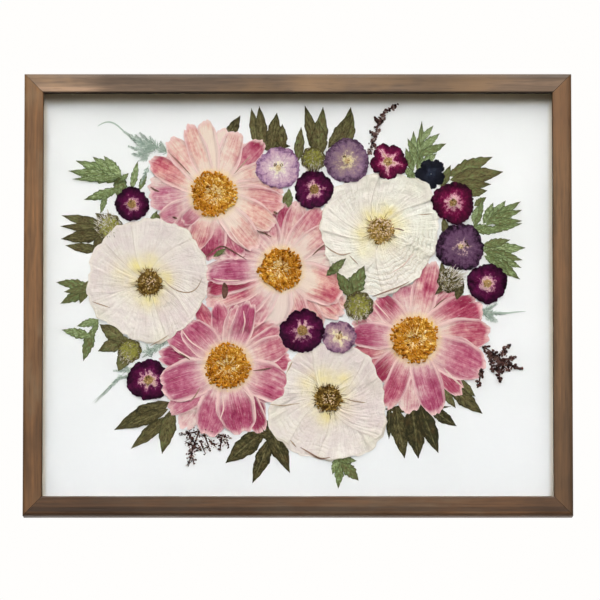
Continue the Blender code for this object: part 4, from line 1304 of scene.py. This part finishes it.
# Raised lines: pale ridges, and dark edges that are partly dried curled edges and partly painted
# shade where one petal lies over another: path, half width and tone from dark 0 to pale 1.
PINK_FOLDS = {
    "pink_flower_middle": [([(224, 283), (225, 291), (224, 299)], 3.2, 0.0),
                           ([(312, 256), (318, 250), (326, 244)], 0.8, 0.2),
                           ([(213, 279), (224, 281), (240, 281)], 0.8, 0.9),
                           ([(343, 282), (346, 292), (343, 303)], 0.8, 0.95)],
    "pink_flower_top": [([(170, 154), (178, 162), (190, 175)], 0.65, 0.2),
                        ([(256, 231), (263, 233), (271, 237)], 0.7, 0.15),
                        ([(205, 258), (213, 251), (221, 245), (233, 252), (246, 260)], 0.8, 0.1),
                        ([(234, 174), (242, 165), (250, 156)], 0.6, 0.45),
                        ([(150, 187), (154, 190), (159, 192)], 1.0, 0.1),
                        ([(229, 229), (236, 240), (247, 250)], 0.6, 1.0),
                        ([(172, 217), (177, 219)], 1.0, 0.15), ([(273, 212), (277, 214)], 1.2, 0.1)],
    "pink_flower_low": [([(200, 388), (196, 395), (190, 402)], 0.7, 0.4),
                        ([(253, 371), (262, 370), (272, 368)], 0.8, 0.15),
                        ([(171, 345), (182, 354), (196, 361)], 0.7, 1.0),
                        ([(179, 353), (190, 360)], 0.7, 0.15),
                        ([(180, 328), (190, 342), (204, 351)], 0.7, 1.0),
                        ([(243, 389), (254, 402), (256, 418)], 0.7, 1.0),
                        ([(222, 395), (224, 408), (220, 420)], 0.7, 1.0),
                        ([(243, 311), (245, 322), (242, 334)], 0.7, 1.0)],
    "pink_flower_right": [([(433, 309), (439, 303), (446, 298)], 0.7, 0.15),
                          ([(372, 300), (381, 310), (390, 320)], 0.7, 1.0),
                          ([(352, 348), (361, 353), (369, 357)], 1.1, 0.2),
                          ([(443, 368), (452, 378), (463, 388)], 0.9, 0.95)],
}


def pink_flower(name, seed):
    """A hidden under row, the seen petals one by one, their raised folds and shade lines, and the stamens.
    """
    rng = np.random.default_rng(seed)
    middle_px, ring_px, petals = PINK_FLOWERS[name]
    middle, ring = spot(middle_px), ring_px * PX
    offset = spot([row[0] for row in petals]) - middle
    angle = np.arctan2(offset[:, 1], offset[:, 0])
    length = np.hypot(offset[:, 0], offset[:, 1])
    shapes = []
    for at in np.linspace(0, 2 * np.pi, UNDER_PETALS, endpoint=False) + rng.uniform(0, 1):
        reach = UNDER_REACH[name] * np.interp(at, angle, length, period=2 * np.pi)
        nearest = petals[np.argmin(np.abs(np.angle(np.exp(1j * (angle - at)))))]
        tip = middle + reach * np.array((math.cos(at), math.sin(at)))
        shapes.append(long_petal(middle, ring, tip, UNDER_HALF, max(nearest[2], 0.2), nearest[3],
                                 0, PINK_PATCHES[name], rng))
    for tip_px, half_px, tone, warm, *tip_tone in petals:
        shapes.append(long_petal(middle, ring, spot(tip_px), half_px * PETAL_SPREAD, tone, warm,
                                 sum(tip_tone), PINK_PATCHES[name], rng))
    build(name + "_petals", shapes, pink_look, [name])
    build(name + "_folds_and_shade_lines", [fold(*one) for one in PINK_FOLDS[name]], fold_shade_look)
    stamens(name, middle, ring, rng)


print(len(PINK_FLOWERS), "pink flowers")

# %% [markdown]
# ## Stamens
# In the middle of each pink flower stands a thick ring of golden anthers on pale threads. Pressed,
# they lie tumbled over each other. A bumpy disc would do from far away, but the ring is what the
# eye goes to first, so each anther is a bead, a few hundred to a flower. Its shade runs from burnt
# brown at the rim to pale yellow inside.

# %% Stamens
gold_look = plant_finish("golden_anthers", [(116, 62, 8), (182, 112, 20), (212, 150, 42),
                                            (238, 200, 96), (254, 238, 188)], 0.6, 300.0)
brown_look = plant_finish("brown_anthers", [(52, 34, 8), (112, 82, 30), (176, 146, 74),
                                            (206, 178, 138), (232, 212, 196)], 0.6, 500.0)

# For each flower: the way, in degrees, towards which its anthers are yellower, and their mean tone.
YELLOW_WAY = {"pink_flower_top": (20, 0.44), "pink_flower_middle": (215, 0.35),
              "pink_flower_low": (60, 0.31), "pink_flower_right": (20, 0.41)}


def cushion(middle, radius, rise, tone, rng):
    """The low knobbly disc that the stamens stand on."""
    p, q = disc_grid(25)
    r = np.hypot(p, q)
    lumps = np.sin(p * 17 + rng.uniform(0, 6)) * np.sin(q * 17 + rng.uniform(0, 6))
    relief = rise * np.maximum(1 - r ** 2, 0) * (1 + 0.3 * lumps)
    return laid_sheet(middle[0] + p * radius, middle[1] + q * radius, relief, 0.1 * MM, tone=tone)


def anthers(middle, ring, count, inner, outer, size, rise, rng, shade):
    """Tumbled beads between two radii, given as shares of the ring: size long, and up to rise
    above the ground. shade gives each one's tone from its radius and angle."""
    r, angle = scatter(rng, count, inner, outer)
    place = around(middle, r * ring, angle)
    length = size * rng.uniform(0.75, 1.3, count)
    sizes = np.stack([length, 0.55 * length, 0.6 * length], -1)
    height = ground_at(place[:, 0], place[:, 1]) + rise * rng.uniform(0.2, 1.0, count)
    turn = angle + rng.normal(0, 0.7, count)
    return beads(at_height(place[:, 0], place[:, 1], height), sizes, turn, tone=shade(r, angle))


def filaments(middle, count, start_r, end_r, radius, arch, tone, rng):
    """Threads from one radius out to another, each a little astray, radius thick and arched."""
    angle = rng.uniform(0, 2 * np.pi, count)
    start = around(middle, start_r * rng.uniform(0.8, 1.2, count), angle)
    end = around(middle, end_r * rng.uniform(0.85, 1.12, count), angle + rng.normal(0, 0.12, count))
    level = np.maximum(ground_at(*start.T), ground_at(*end.T)) + radius
    return threads(at_height(*start.T, level), at_height(*end.T, level), radius, arch, tone=tone)


def stamens(name, middle, ring, rng):
    """Cushion, threads and golden anthers of a pink flower."""
    yellow, mean = YELLOW_WAY[name]
    yellow = math.radians(yellow)
    phase = rng.uniform(0, 6, 3)

    def shade(r, angle):
        clump = np.sin(angle * 5 + r * 7 + phase[0]) * np.sin(angle * 9 - r * 11 + phase[1])
        light = mean + 0.25 * (0.75 - r) + 0.14 * np.cos(angle - yellow) + 0.22 * clump
        return np.clip(light + rng.normal(0, 0.14, len(r)), 0.08 + 0.2 * (r > 0.93), 1)

    def inner(r, angle):
        return rng.choice([0.0, 0.4, 0.6, 0.75, 0.97], len(r)) + mean - 0.36

    def pollen(r, angle):
        return rng.uniform(0.75, 1.0, len(r))

    build(name + "_stamens", [
        cushion(middle, ring * 0.93, 0.25 * MM, 0.4, rng),
        filaments(middle, 46, ring * 0.2, ring * 0.7, 0.15 * MM, 0.12 * MM, 0.9, rng),
        filaments(middle, 70, ring * 0.85, ring * 1.13, 0.13 * MM, 0.08 * MM, 0.85, rng),
        anthers(middle, ring, 130, 0.0, 0.48, 0.9 * MM, 0.5 * MM, rng, inner),
        anthers(middle, ring, 330, 0.34, 1.03, 1.5 * MM, 0.8 * MM, rng, shade),
        anthers(middle, ring, 70, 0.3, 1.1, 0.55 * MM, 1.3 * MM, rng, pollen),
    ], gold_look)


print("stamens ready to be set")

# %% [markdown]
# ## White petals
# Dried white petals are like thin paper: beige to cream, creased across where they were pressed,
# yellowed round the middle and greenish at some rims. That is one finish with a cloud of tone, rays
# along the petal, ripples across it and a wrinkled bump. The rays, ripples, wrinkles and crimps are
# also darkened and lightened in colour, as painted shade and highlight of those folds, and the petal
# sides carry a painted shadow line with a painted highlight beside it. Where the yellow and the green
# lie comes from marks, so that they cross from petal to petal as they do on the flower.

# %% White finish


def white_finish():
    """Papery white: beige to cream by tone, yellow where the halo mark is, green-grey at some rims,
    with painted shade and highlight along its folds and petal sides.
    """
    white = Finish("white_petal", Roughness=0.75, Specular_IOR_Level=0.12)
    along, across, tone, seed, halo, green, out, crimped = white.marks(
        "along across tone seed halo green out crimped")
    own = seed * 40.0
    cloud = white.noise(white.place(), 70.0, 4.0, 0.6)
    rays = white.noise(white.vector(across * 5.0, along, own), 2.0, 4.0, 0.6)
    ripple = white.noise(white.vector(across * 2.4, along * 13.0, own), 1.0, 4.0, 0.65)
    wrinkle = white.noise(white.place(), 110.0, 5.0, 0.6)
    # Painted shade along the ripples and wrinkles.
    lines = white.step(ripple, 0.54, 0.68, 0.0, 0.3) * white.step(cloud, 0.42, 0.6, 0.3, 1.0)
    lines = lines + white.step(wrinkle, 0.56, 0.7, 0.0, 0.25)
    # Painted shade in the crimped arcs, which also bump the surface.
    crimp = white.step(white.maths("SINE", out * 84.0 + cloud * 16.0), 0.0, 0.9) * crimped
    off = abs(across)
    # Painted highlight along the petal sides and at the tip.
    edge = white.step(off, 0.72, 0.93, 0.0, 0.35) * white.step(off, 0.975, 0.945)
    edge = white.maths("MAXIMUM", edge, white.step(along, 0.93, 0.985, 0.0, 0.5))
    hem = white.step(along, 0.985, 1.0, 0.0, 0.6) * white.step(cloud, 0.45, 0.6)
    base = white.ramp(tone + (cloud - 0.5) * 1.2, [
        (0.0, (225, 211, 208)), (0.35, (232, 223, 217)), (0.7, (240, 236, 225)),
        (1.0, (245, 245, 235))])
    # Coats of painted shade and highlight: ripple and wrinkle lines, dark and light rays, crimps, a painted
    # shadow line at the petal side and the painted highlight beside it; the halo and the green are the
    # petal's own colour.
    base = white.coats(
        base, (lines, (196, 181, 164)),
        (white.step(rays, 0.52, 0.72, 0.0, 0.24), (202, 187, 176)),
        (white.step(rays, 0.48, 0.34, 0.0, 0.4), (248, 243, 235)),
        (crimp * 0.3, (190, 172, 136)),
        (halo * white.step(wrinkle, 0.3, 0.65, 0.55, 1.0), (240, 227, 156)),
        (green * 0.6, (214, 214, 186)),
        (white.step(off, 0.955, 0.985, 0.0, 0.3), (184, 168, 148)),
        (edge, (244, 238, 226)), (hem, (176, 158, 122)))
    white.set(Base_Color=base, Roughness=white.step(cloud, 0.3, 0.7, 0.65, 0.85))
    white.bump(rays + ripple * 0.45 - crimp * 0.25 + wrinkle * 0.9, 0.0014, 0.9)
    return white


white_look = white_finish()
print("white finish of", len(white_look.tree.nodes), "nodes")

# %% [markdown]
# ## Fan petals
# A white flower is a bowl of broad petals pressed flat, nearly one round mass with soft steps where
# one petal lies over the next. Long petals would leave gaps at its rim. So each petal is a fan, a
# grid over angle and radius, and all of them end at one outline drawn round the flower.

# %% Fan petals


def reach_round(middle, tips_px):
    """The distance from the middle to the outline at any angle, straight in polar terms between
    the tips, with a fine ripple."""
    offset = spot(tips_px) - middle
    angle = np.arctan2(offset[:, 1], offset[:, 0])
    length = np.hypot(offset[:, 0], offset[:, 1])

    def reach(at):
        ripple = 1 + 0.018 * np.sin(at * 11 + length[0] * 900)
        ripple = ripple + 0.012 * np.sin(at * 27 + length[1] * 900)
        return np.interp(at, angle, length, period=2 * np.pi) * (ripple + 0.006 * np.sin(at * 61))

    return reach


def fan_petal(middle, turn, spread, reach, corner, rng, size, relief_of, thick, start=0.1, twist=0.0,
              **marks):
    """A petal as a fan: angle is turn plus spread times across, radius is the outline's reach times
    the way along, drawn in at the corners by corner times across to the fourth power. twist bends
    the petal sideways, growing along it."""
    along, across = sheet_grid(*size)
    angle = turn + spread * across + twist * (1 - along) ** 1.5
    share = start + (1 - start) * along * (1 - corner * across ** 4)
    radius = reach(angle) * share
    x = middle[0] + radius * np.cos(angle)
    z = middle[1] + radius * np.sin(angle)
    grids = {name: value(x, z) if callable(value) else value for name, value in marks.items()}
    return laid_sheet(x, z, relief_of(along, across), thick, along=along, across=across,
                      seed=rng.uniform(), out=share, **grids)


print("fan petals ready")

# %% [markdown]
# ## Where the white petals lie
# Three white flowers lie on the pink ones. A round outline would do for a fresh flower, but these
# were folded and frayed in the press. So each has its own outline, and its yellow, greenish and
# crimped places are soft spots read off the front view. Raised lines mark its folds, and their dark
# shades are also painted shade where one petal's edge lies over another.

# %% Where the white petals lie
# Raised lines along petals; their darkest shades are partly painted shade where one petal lies over
# another.
fold_shade_look = plant_finish("fold_and_shade_line", [(100, 66, 56), (146, 116, 98), (196, 178, 152),
                                        (240, 214, 206)], 0.8, 600.0)

# Middle and radius of the dark ring, tone, outline tips, yellow halo spots, green-grey spots,
# and raised lines of folds and painted shade as (path, half width, tone from dark 0 to pale 1).
WHITE_FLOWERS = {
    "white_flower_left": ((149, 283), 13, 0.25, [
        (209, 270), (206, 298), (190, 322), (170, 339), (150, 346), (128, 338), (107, 324),
        (94, 317), (87, 303), (86, 282), (89, 262), (98, 245), (112, 231), (130, 222),
        (150, 219), (170, 222), (187, 231), (200, 247)],
        [((137, 265), 8, 0.6), ((166, 279), 8, 0.55), ((150, 300), 10, 0.55), ((122, 272), 13, 0.35),
         ((150, 262), 9, 0.5)],
        [((160, 340), 12, 0.6), ((192, 232), 14, 0.5), ((100, 315), 9, 0.6), ((200, 290), 10, 0.4)],
        [([(164, 281), (172, 289), (182, 293), (192, 293), (198, 288), (202, 278)], 0.6, 0.5),
         ([(92, 302), (101, 305), (110, 308)], 0.6, 0.4),
         ([(150, 346), (160, 341), (169, 335)], 0.7, 0.6)]),
    "white_flower_top": ((380.5, 230.5), 13, 0.85, [
        (436, 200), (437, 220), (434, 250), (424, 268), (409, 284), (395, 292), (375, 297),
        (358, 292), (341, 282), (328, 262), (321, 242), (319, 222), (322, 203), (332, 188),
        (348, 178), (366, 173), (385, 171), (405, 174), (424, 182)],
        [((371, 217), 9, 0.6), ((361, 236), 8, 0.55), ((389, 213), 9, 0.7), ((364, 252), 8, 0.4),
         ((402, 226), 8, 0.3)],
        [((426, 226), 13, 0.6), ((416, 184), 16, 0.6), ((346, 262), 12, 0.5), ((420, 250), 14, 0.6),
         ((372, 180), 12, 0.4)],
        [([(325, 246), (332, 252), (341, 256), (352, 253)], 0.7, 0.5),
         ([(372, 297), (386, 292), (400, 287), (409, 282)], 0.8, 0.35),
         ([(393, 229), (398, 229), (404, 231)], 0.7, 0.4), ([(349, 256), (358, 265)], 0.6, 0.5),
         ([(390, 274), (403, 266), (414, 253)], 0.6, 0.85), ([(418, 215), (432, 214)], 0.6, 0.6)]),
    "white_flower_bottom": ((328, 398.5), 13.5, 0.2, [
        (378, 372), (384, 392), (386, 415), (384, 436), (372, 449), (354, 457), (334, 459),
        (318, 459), (302, 454), (286, 447), (274, 436), (267, 420), (268, 404), (284, 396),
        (285, 382), (287, 368), (293, 356), (304, 348), (330, 342), (350, 344), (366, 354)],
        [((320, 377), 11, 0.5), ((344, 379), 9, 0.6), ((325, 418), 8, 0.55), ((305, 383), 8, 0.5)],
        [((276, 414), 12, 0.55), ((372, 442), 12, 0.7), ((374, 385), 12, 0.4), ((300, 352), 10, 0.4)],
        [([(300, 447), (310, 453), (320, 459), (330, 457)], 0.9, 0.3),
         ([(344, 398), (352, 401), (366, 403)], 0.7, 0.5), ([(268, 404), (282, 406), (300, 403)], 0.7, 0.6),
         ([(290, 440), (296, 447)], 0.7, 0.5), ([(287, 372), (292, 362)], 0.8, 0.6)]),
}

# Where a flower is crimped into fine arcs: middle and radius of a soft spot, and how much.
CRIMPED = {
    "white_flower_left": [((102, 262), 16, 0.3), ((180, 330), 16, 0.3)],
    "white_flower_top": [((408, 262), 20, 1.0), ((385, 283), 18, 0.9), ((360, 284), 14, 0.6),
                         ((424, 240), 13, 0.8), ((345, 200), 14, 0.4)],
    "white_flower_bottom": [((290, 430), 15, 0.5), ((320, 450), 14, 0.4), ((360, 440), 14, 0.3)]}


print(sum(len(row[3]) for row in WHITE_FLOWERS.values()), "points round", len(WHITE_FLOWERS), "outlines")

# %% [markdown]
# ## White flowers
# Each white flower is a lower and an upper round of fans. One crumpled disc would be quicker, but
# it would have no steps where petal lies on petal. The dark middle is made of the same cushion,
# threads and anthers as before, in brown.

# %% White flowers
FAN_PETALS = 6


def white_flower(name, seed):
    """Broad petals all round, their raised folds and shade lines, and the dark ring of stamens. The
    paler flower is the fresher one, and ripples more."""
    rng = np.random.default_rng(seed)
    middle_px, ring_px, tone, tips, halo, green, folds = WHITE_FLOWERS[name]
    middle, ring = spot(middle_px), ring_px * PX
    reach = reach_round(middle, tips)
    phase = rng.uniform(0, 6, 4)

    def relief(along, across):
        ripples = 1 + np.sin(along * 29 + 2.5 * np.sin(across * 4 + phase[0]))
        ripples = (0.05 + 0.12 * tone) * MM * ripples
        rays = 0.06 * MM * (1 + np.sin(across * 10 + phase[1] + 3 * np.sin(along * 4 + phase[3])))
        curl = 0.22 * MM * np.abs(across) ** 6 + 0.16 * MM * along ** 10
        return (ripples + rays) * along ** 0.7 + curl

    halo = halo + [(middle_px, ring_px * 1.5, 0.85)]
    turns = np.linspace(0, 2 * np.pi, FAN_PETALS, endpoint=False) + phase[2]
    under = [(turn, 0.9, 2.6, 0.0) for turn in turns[::2] + 0.4]
    upper = [(turn, rng.uniform(0.965, 1.01), 1.5, rng.uniform(-0.8, 0.8))
             for turn in turns[rng.permutation(FAN_PETALS)]]
    shapes = []
    for turn, size, wide, twist in under + upper:
        shapes.append(fan_petal(
            middle, turn, np.pi / FAN_PETALS * wide, lambda at: size * reach(at), 0.035, rng,
            (46, 27), relief, 0.08 * MM, twist=twist, tone=tone + rng.uniform(-0.25, 0.2),
            halo=lambda x, z: blobs(x, z, halo), green=lambda x, z: blobs(x, z, green),
            crimped=lambda x, z: blobs(x, z, CRIMPED[name])))
    build(name + "_petals", shapes, white_look, [name])
    build(name + "_folds_and_shade_lines", [fold(*one) for one in folds], fold_shade_look)

    def dark(r, angle):
        light = 0.17 + tone * (0.72 + 0.16 * np.sin(angle) - 0.4 * (r - 0.5))
        return np.clip(light + rng.normal(0, 0.12, len(r)), 0.02, 0.85)

    def inner(r, angle):
        return rng.choice([0.15, 0.5, 0.65, 0.8], len(r))

    build(name + "_stamens", [
        cushion(middle, ring * 0.9, 0.3 * MM, 0.12 + 0.34 * tone, rng),
        filaments(middle, 40, ring * 0.8, ring * 1.14, 0.32 * MM, 0.05 * MM, 0.15 + 0.3 * tone, rng),
        filaments(middle, 9, ring * 0.9, ring * 1.4, 0.3 * MM, 0.05 * MM, 0.3, rng),
        anthers(middle, ring, 130, 0.45, 1.02, 1.2 * MM, 0.7 * MM, rng, dark),
        anthers(middle, ring, 60, 0.0, 0.48, 1.0 * MM, 0.6 * MM, rng, inner),
    ], brown_look)


print(len(WHITE_FLOWERS), "white flowers")

# %% [markdown]
# ## Shades of the small flowers
# The small flowers go from nearly black at the rim to magenta and a pale eye, or from dull violet
# to cream. Their pale rays could be strips of their own, but they are as thin as a hair. So the
# finish draws them: in the middle line of a petal the pale eye reaches further out.

# %% Shades of the small flowers


def small_finish(name, streak, mottle, shades):
    """Shades from the eye out to the rim; the ray mark is how far the pale eye reaches along the
    middle of a petal."""
    small = Finish(name + "_petal", Specular_IOR_Level=0.1)
    across, seed, out, ray = small.marks("across seed out ray")
    lines = small.noise(small.vector(across * 12.0, out, seed * 40.0), 2.4, 4.0, 0.7)
    cloud = small.noise(small.place(), 320.0, 4.0, 0.65)
    grain = small.noise(small.place(), 1100.0, 3.0, 0.7)
    off = abs(across)
    reach = small.step(off, 0.62, 0.05) * small.step(lines, 0.38, 0.56, 0.1, 1.1) * ray
    amount = out - reach + ((lines - 0.5) * streak + (cloud - 0.5) * mottle) + (grain - 0.5) * 0.45
    rim = (small.step(off, 0.9, 1.0, 0.0, 0.35), shades[-1][1])
    small.set(Base_Color=small.coats(small.ramp(amount, shades), rim),
              Roughness=small.step(cloud, 0.3, 0.7, 0.55, 0.75))
    small.bump(lines + cloud, 0.0004, 0.8)
    return small


# For each shade: how strongly rays and clouds change it, and its steps from the eye to the rim.
SMALL_SHADES = {
    "plum": (0.8, 1.0, [
        (0.0, (190, 152, 112)), (0.15, (234, 202, 200)), (0.26, (204, 140, 162)),
        (0.35, (112, 28, 80)), (0.5, (86, 6, 58)), (0.78, (54, 0, 40)), (1.0, (28, 0, 20))]),
    "magenta": (0.8, 1.0, [
        (0.0, (196, 152, 120)), (0.15, (244, 214, 214)), (0.27, (226, 150, 174)),
        (0.38, (144, 26, 80)), (0.56, (98, 2, 52)), (0.8, (64, 0, 36)), (1.0, (32, 0, 20))]),
    "black": (0.5, 0.9, [
        (0.0, (58, 68, 84)), (0.3, (34, 38, 52)), (0.6, (24, 26, 38)), (1.0, (14, 16, 26))]),
    "lilac": (0.8, 1.4, [
        (0.0, (246, 240, 206)), (0.2, (242, 234, 218)), (0.34, (220, 198, 206)),
        (0.62, (204, 170, 186)), (0.84, (170, 132, 168)), (1.0, (116, 78, 112))]),
    "dusky_lilac": (0.8, 1.4, [
        (0.0, (240, 232, 190)), (0.24, (222, 206, 182)), (0.38, (184, 152, 154)),
        (0.62, (168, 132, 150)), (0.84, (130, 92, 122)), (1.0, (84, 52, 78))]),
    "violet": (0.8, 1.4, [
        (0.0, (236, 224, 168)), (0.17, (216, 198, 168)), (0.26, (164, 138, 136)),
        (0.6, (140, 112, 134)), (0.82, (112, 82, 112)), (1.0, (68, 46, 66))]),
    "deep_violet": (0.9, 1.6, [
        (0.0, (222, 190, 186)), (0.12, (184, 150, 162)), (0.22, (116, 86, 112)),
        (0.55, (106, 72, 104)), (0.78, (74, 44, 72)), (1.0, (28, 12, 26))]),
}
small_looks = {name: small_finish(name, *row) for name, row in SMALL_SHADES.items()}
eye_look = plant_finish("flower_eye", [(52, 40, 28), (140, 106, 60), (196, 162, 104),
                                       (238, 222, 180)], 0.7, 700.0)
print(len(small_looks), "shades of small flowers")

# %% [markdown]
# ## Small flowers
# The small flowers are flat fans of five to nine petals round a tiny eye. Most of them are laid
# last, on top of everything else. One disc with a notched edge would be simpler, but each real
# flower has a lower row of petals that shows in the gaps. So there are two rows of fans, an outline
# that wavers and has nicks, as dried petals tear, and a knot of beads for the eye.

# %% Small flowers
# Middle, radius, shade, number of petals, turn of the first in degrees, notch between petals, reach
# of the pale rays, radius of the eye as a share of the whole and its tone, and dark spots.
SMALL_FLOWERS = {
    "purple_flower_low_left": ((148.5, 380), 21.5, "plum", 6, 20, 0.17, 0.2, 0.23, 0.45, []),
    "black_flower": ((431, 174), 15.5, "black", 5, 44, 0.34, 0.1, 0.0, 0.0, []),
    "purple_flower_right": ((487, 284), 20.5, "plum", 6, 30, 0.15, 0.13, 0.21, 0.5, []),
    "lilac_flower_top": ((278, 168), 22, "lilac", 5, 30, 0.14, 0.2, 0.12, 0.9,
                         [(275, 165), (281, 165)]),
    "purple_flower_left": ((131.5, 204.5), 17.5, "plum", 7, 0, 0.1, 0.16, 0.26, 0.4, []),
    "purple_flower_upper": ((388, 161.5), 19, "magenta", 5, 50, 0.26, 0.38, 0.24, 0.5, []),
    "violet_flower_top": ((347, 161), 22.5, "violet", 5, 20, 0.12, 0.12, 0.12, 0.8, [(345, 157)]),
    "violet_flower_right": ((460.5, 247), 25, "deep_violet", 7, 0, 0.12, 0.1, 0.1, 0.8,
                            [(466, 242), (467, 246)]),
    "lilac_flower_small": ((339, 337), 17, "dusky_lilac", 5, 0, 0.16, 0.3, 0.2, 0.75, [(340, 333)]),
    "purple_flower_top": ((314, 189.5), 20.5, "plum", 5, 12, 0.19, 0.24, 0.25, 0.35, []),
    "purple_flower_right_upper": ((453, 203), 21.5, "magenta", 9, 0, 0.1, 0.14, 0.18, 0.35, []),
    "purple_flower_middle": ((302, 331), 22.5, "plum", 7, 20, 0.17, 0.19, 0.25, 0.4, []),
}
NICKS, NICK_WIDTH = 9, 0.07   # how many nicks an outline has, and how wide each is in radians
ROUND_NOTCH = 0.2             # petals with a smaller notch overlap and make a round flower


def small_flower(name, seed):
    """Two rows of fanned petals, the lower one smaller, and a low knot of beads for the eye. The
    outline wavers and has nicks, each a small bell curve taken off the reach."""
    rng = np.random.default_rng(seed)
    middle_px, radius_px, look, petals, turn, notch, ray, eye, eye_tone, spots = SMALL_FLOWERS[name]
    middle, radius = spot(middle_px), radius_px * PX
    phase = rng.uniform(0, 6, 3)
    nicks = rng.uniform(-np.pi, np.pi, NICKS)
    depths = rng.uniform(0.02, 0.09, NICKS)

    def reach(at):
        wave = 0.025 * np.sin(at * 3 + phase[0]) + 0.02 * np.sin(at * 13 + phase[1])
        wave = wave + 0.016 * np.sin(at * 31 + phase[2])
        near = np.angle(np.exp(1j * (np.asarray(at)[..., None] - nicks)))
        return radius * (1.01 + wave - np.sum(depths * np.exp(-(near / NICK_WIDTH) ** 2), axis=-1))

    def relief(along, across):
        rays = 0.04 * MM * (1 + np.sin(across * 10 + phase[2] + along))
        return rays * along + 0.11 * MM * np.abs(across) ** 5 + 0.10 * MM * along ** 8

    overlap, lower_size = (1.3, 0.82) if notch < ROUND_NOTCH else (1.08, 0.6)
    shapes = []
    for k in range(2 * petals):
        upper = k >= petals
        at = math.radians(turn) + 2 * np.pi * (k + (0 if upper else 0.5)) / petals
        at += rng.uniform(-0.08, 0.08)
        size = rng.uniform(0.93, 1.02) if upper else lower_size
        shapes.append(fan_petal(middle, at, np.pi / petals * overlap, lambda a: size * reach(a), notch,
                                rng, (22, 21), relief, 0.08 * MM, 0.06, rng.uniform(-0.25, 0.25),
                                ray=ray * rng.uniform(0.4, 1.3)))
    build(name + "_petals", shapes, small_looks[look], [name])
    if eye:
        knot = [cushion(middle, eye * radius * 0.9, 0.15 * MM, eye_tone, rng)]
        knot.append(anthers(middle, eye * radius, 30, 0.0, 1.0, 0.75 * MM, 0.15 * MM, rng,
                            lambda r, angle: eye_tone + rng.normal(0, 0.25, len(r))))
        for spot_px in spots:
            knot.append(anthers(spot(spot_px), 1.7 * PX, 9, 0.0, 1.0, 0.7 * MM, 0.2 * MM, rng,
                                lambda r, angle: rng.uniform(-0.1, 0.3, len(r))))
        build(name + "_eye", knot, eye_look)


print(len(SMALL_FLOWERS), "small flowers")

# %% [markdown]
# ## Laying the picture
# Now everything is laid, from the board upwards, as the presser must have done it: foliage first,
# then the flowers, the smallest last. Each call reads the height map that the calls before it
# left, so the order is what the front view shows. Each gets a seed of its own for its chance.

# %% Lay everything, from the board upwards
FIRST_SEED = 100
LAYING = [
    (leaf_spray, [name for name in LEAF_SPRAYS if name != LOOSE_BITS]),
    (fern, list(FERNS)), (sprig, list(SPRIGS)),
    (seed_head, ["seed_head_low_left"]), (pink_flower, ["pink_flower_middle"]),
    (small_flower, ["purple_flower_low_left", "black_flower"]),
    (seed_head, ["seed_head_left", "seed_head_top"]),
    (pink_flower, ["pink_flower_top", "pink_flower_right", "pink_flower_low"]),
    (leaf_spray, [LOOSE_BITS]), (white_flower, list(WHITE_FLOWERS)),
    (small_flower, ["purple_flower_right", "lilac_flower_top"]),
    (seed_head, ["seed_head_right", "seed_head_middle"]),
    (small_flower, ["purple_flower_left", "purple_flower_upper", "violet_flower_top",
                    "violet_flower_right", "lilac_flower_small", "purple_flower_top",
                    "purple_flower_right_upper", "purple_flower_middle"]),
]
laid = [(make, name) for make, names in LAYING for name in names]
for number, (make, name) in enumerate(laid):
    make(name, FIRST_SEED + number)
print(len(laid), "specimens laid, highest point", round(ground.max() / MM, 2), "mm above the board")
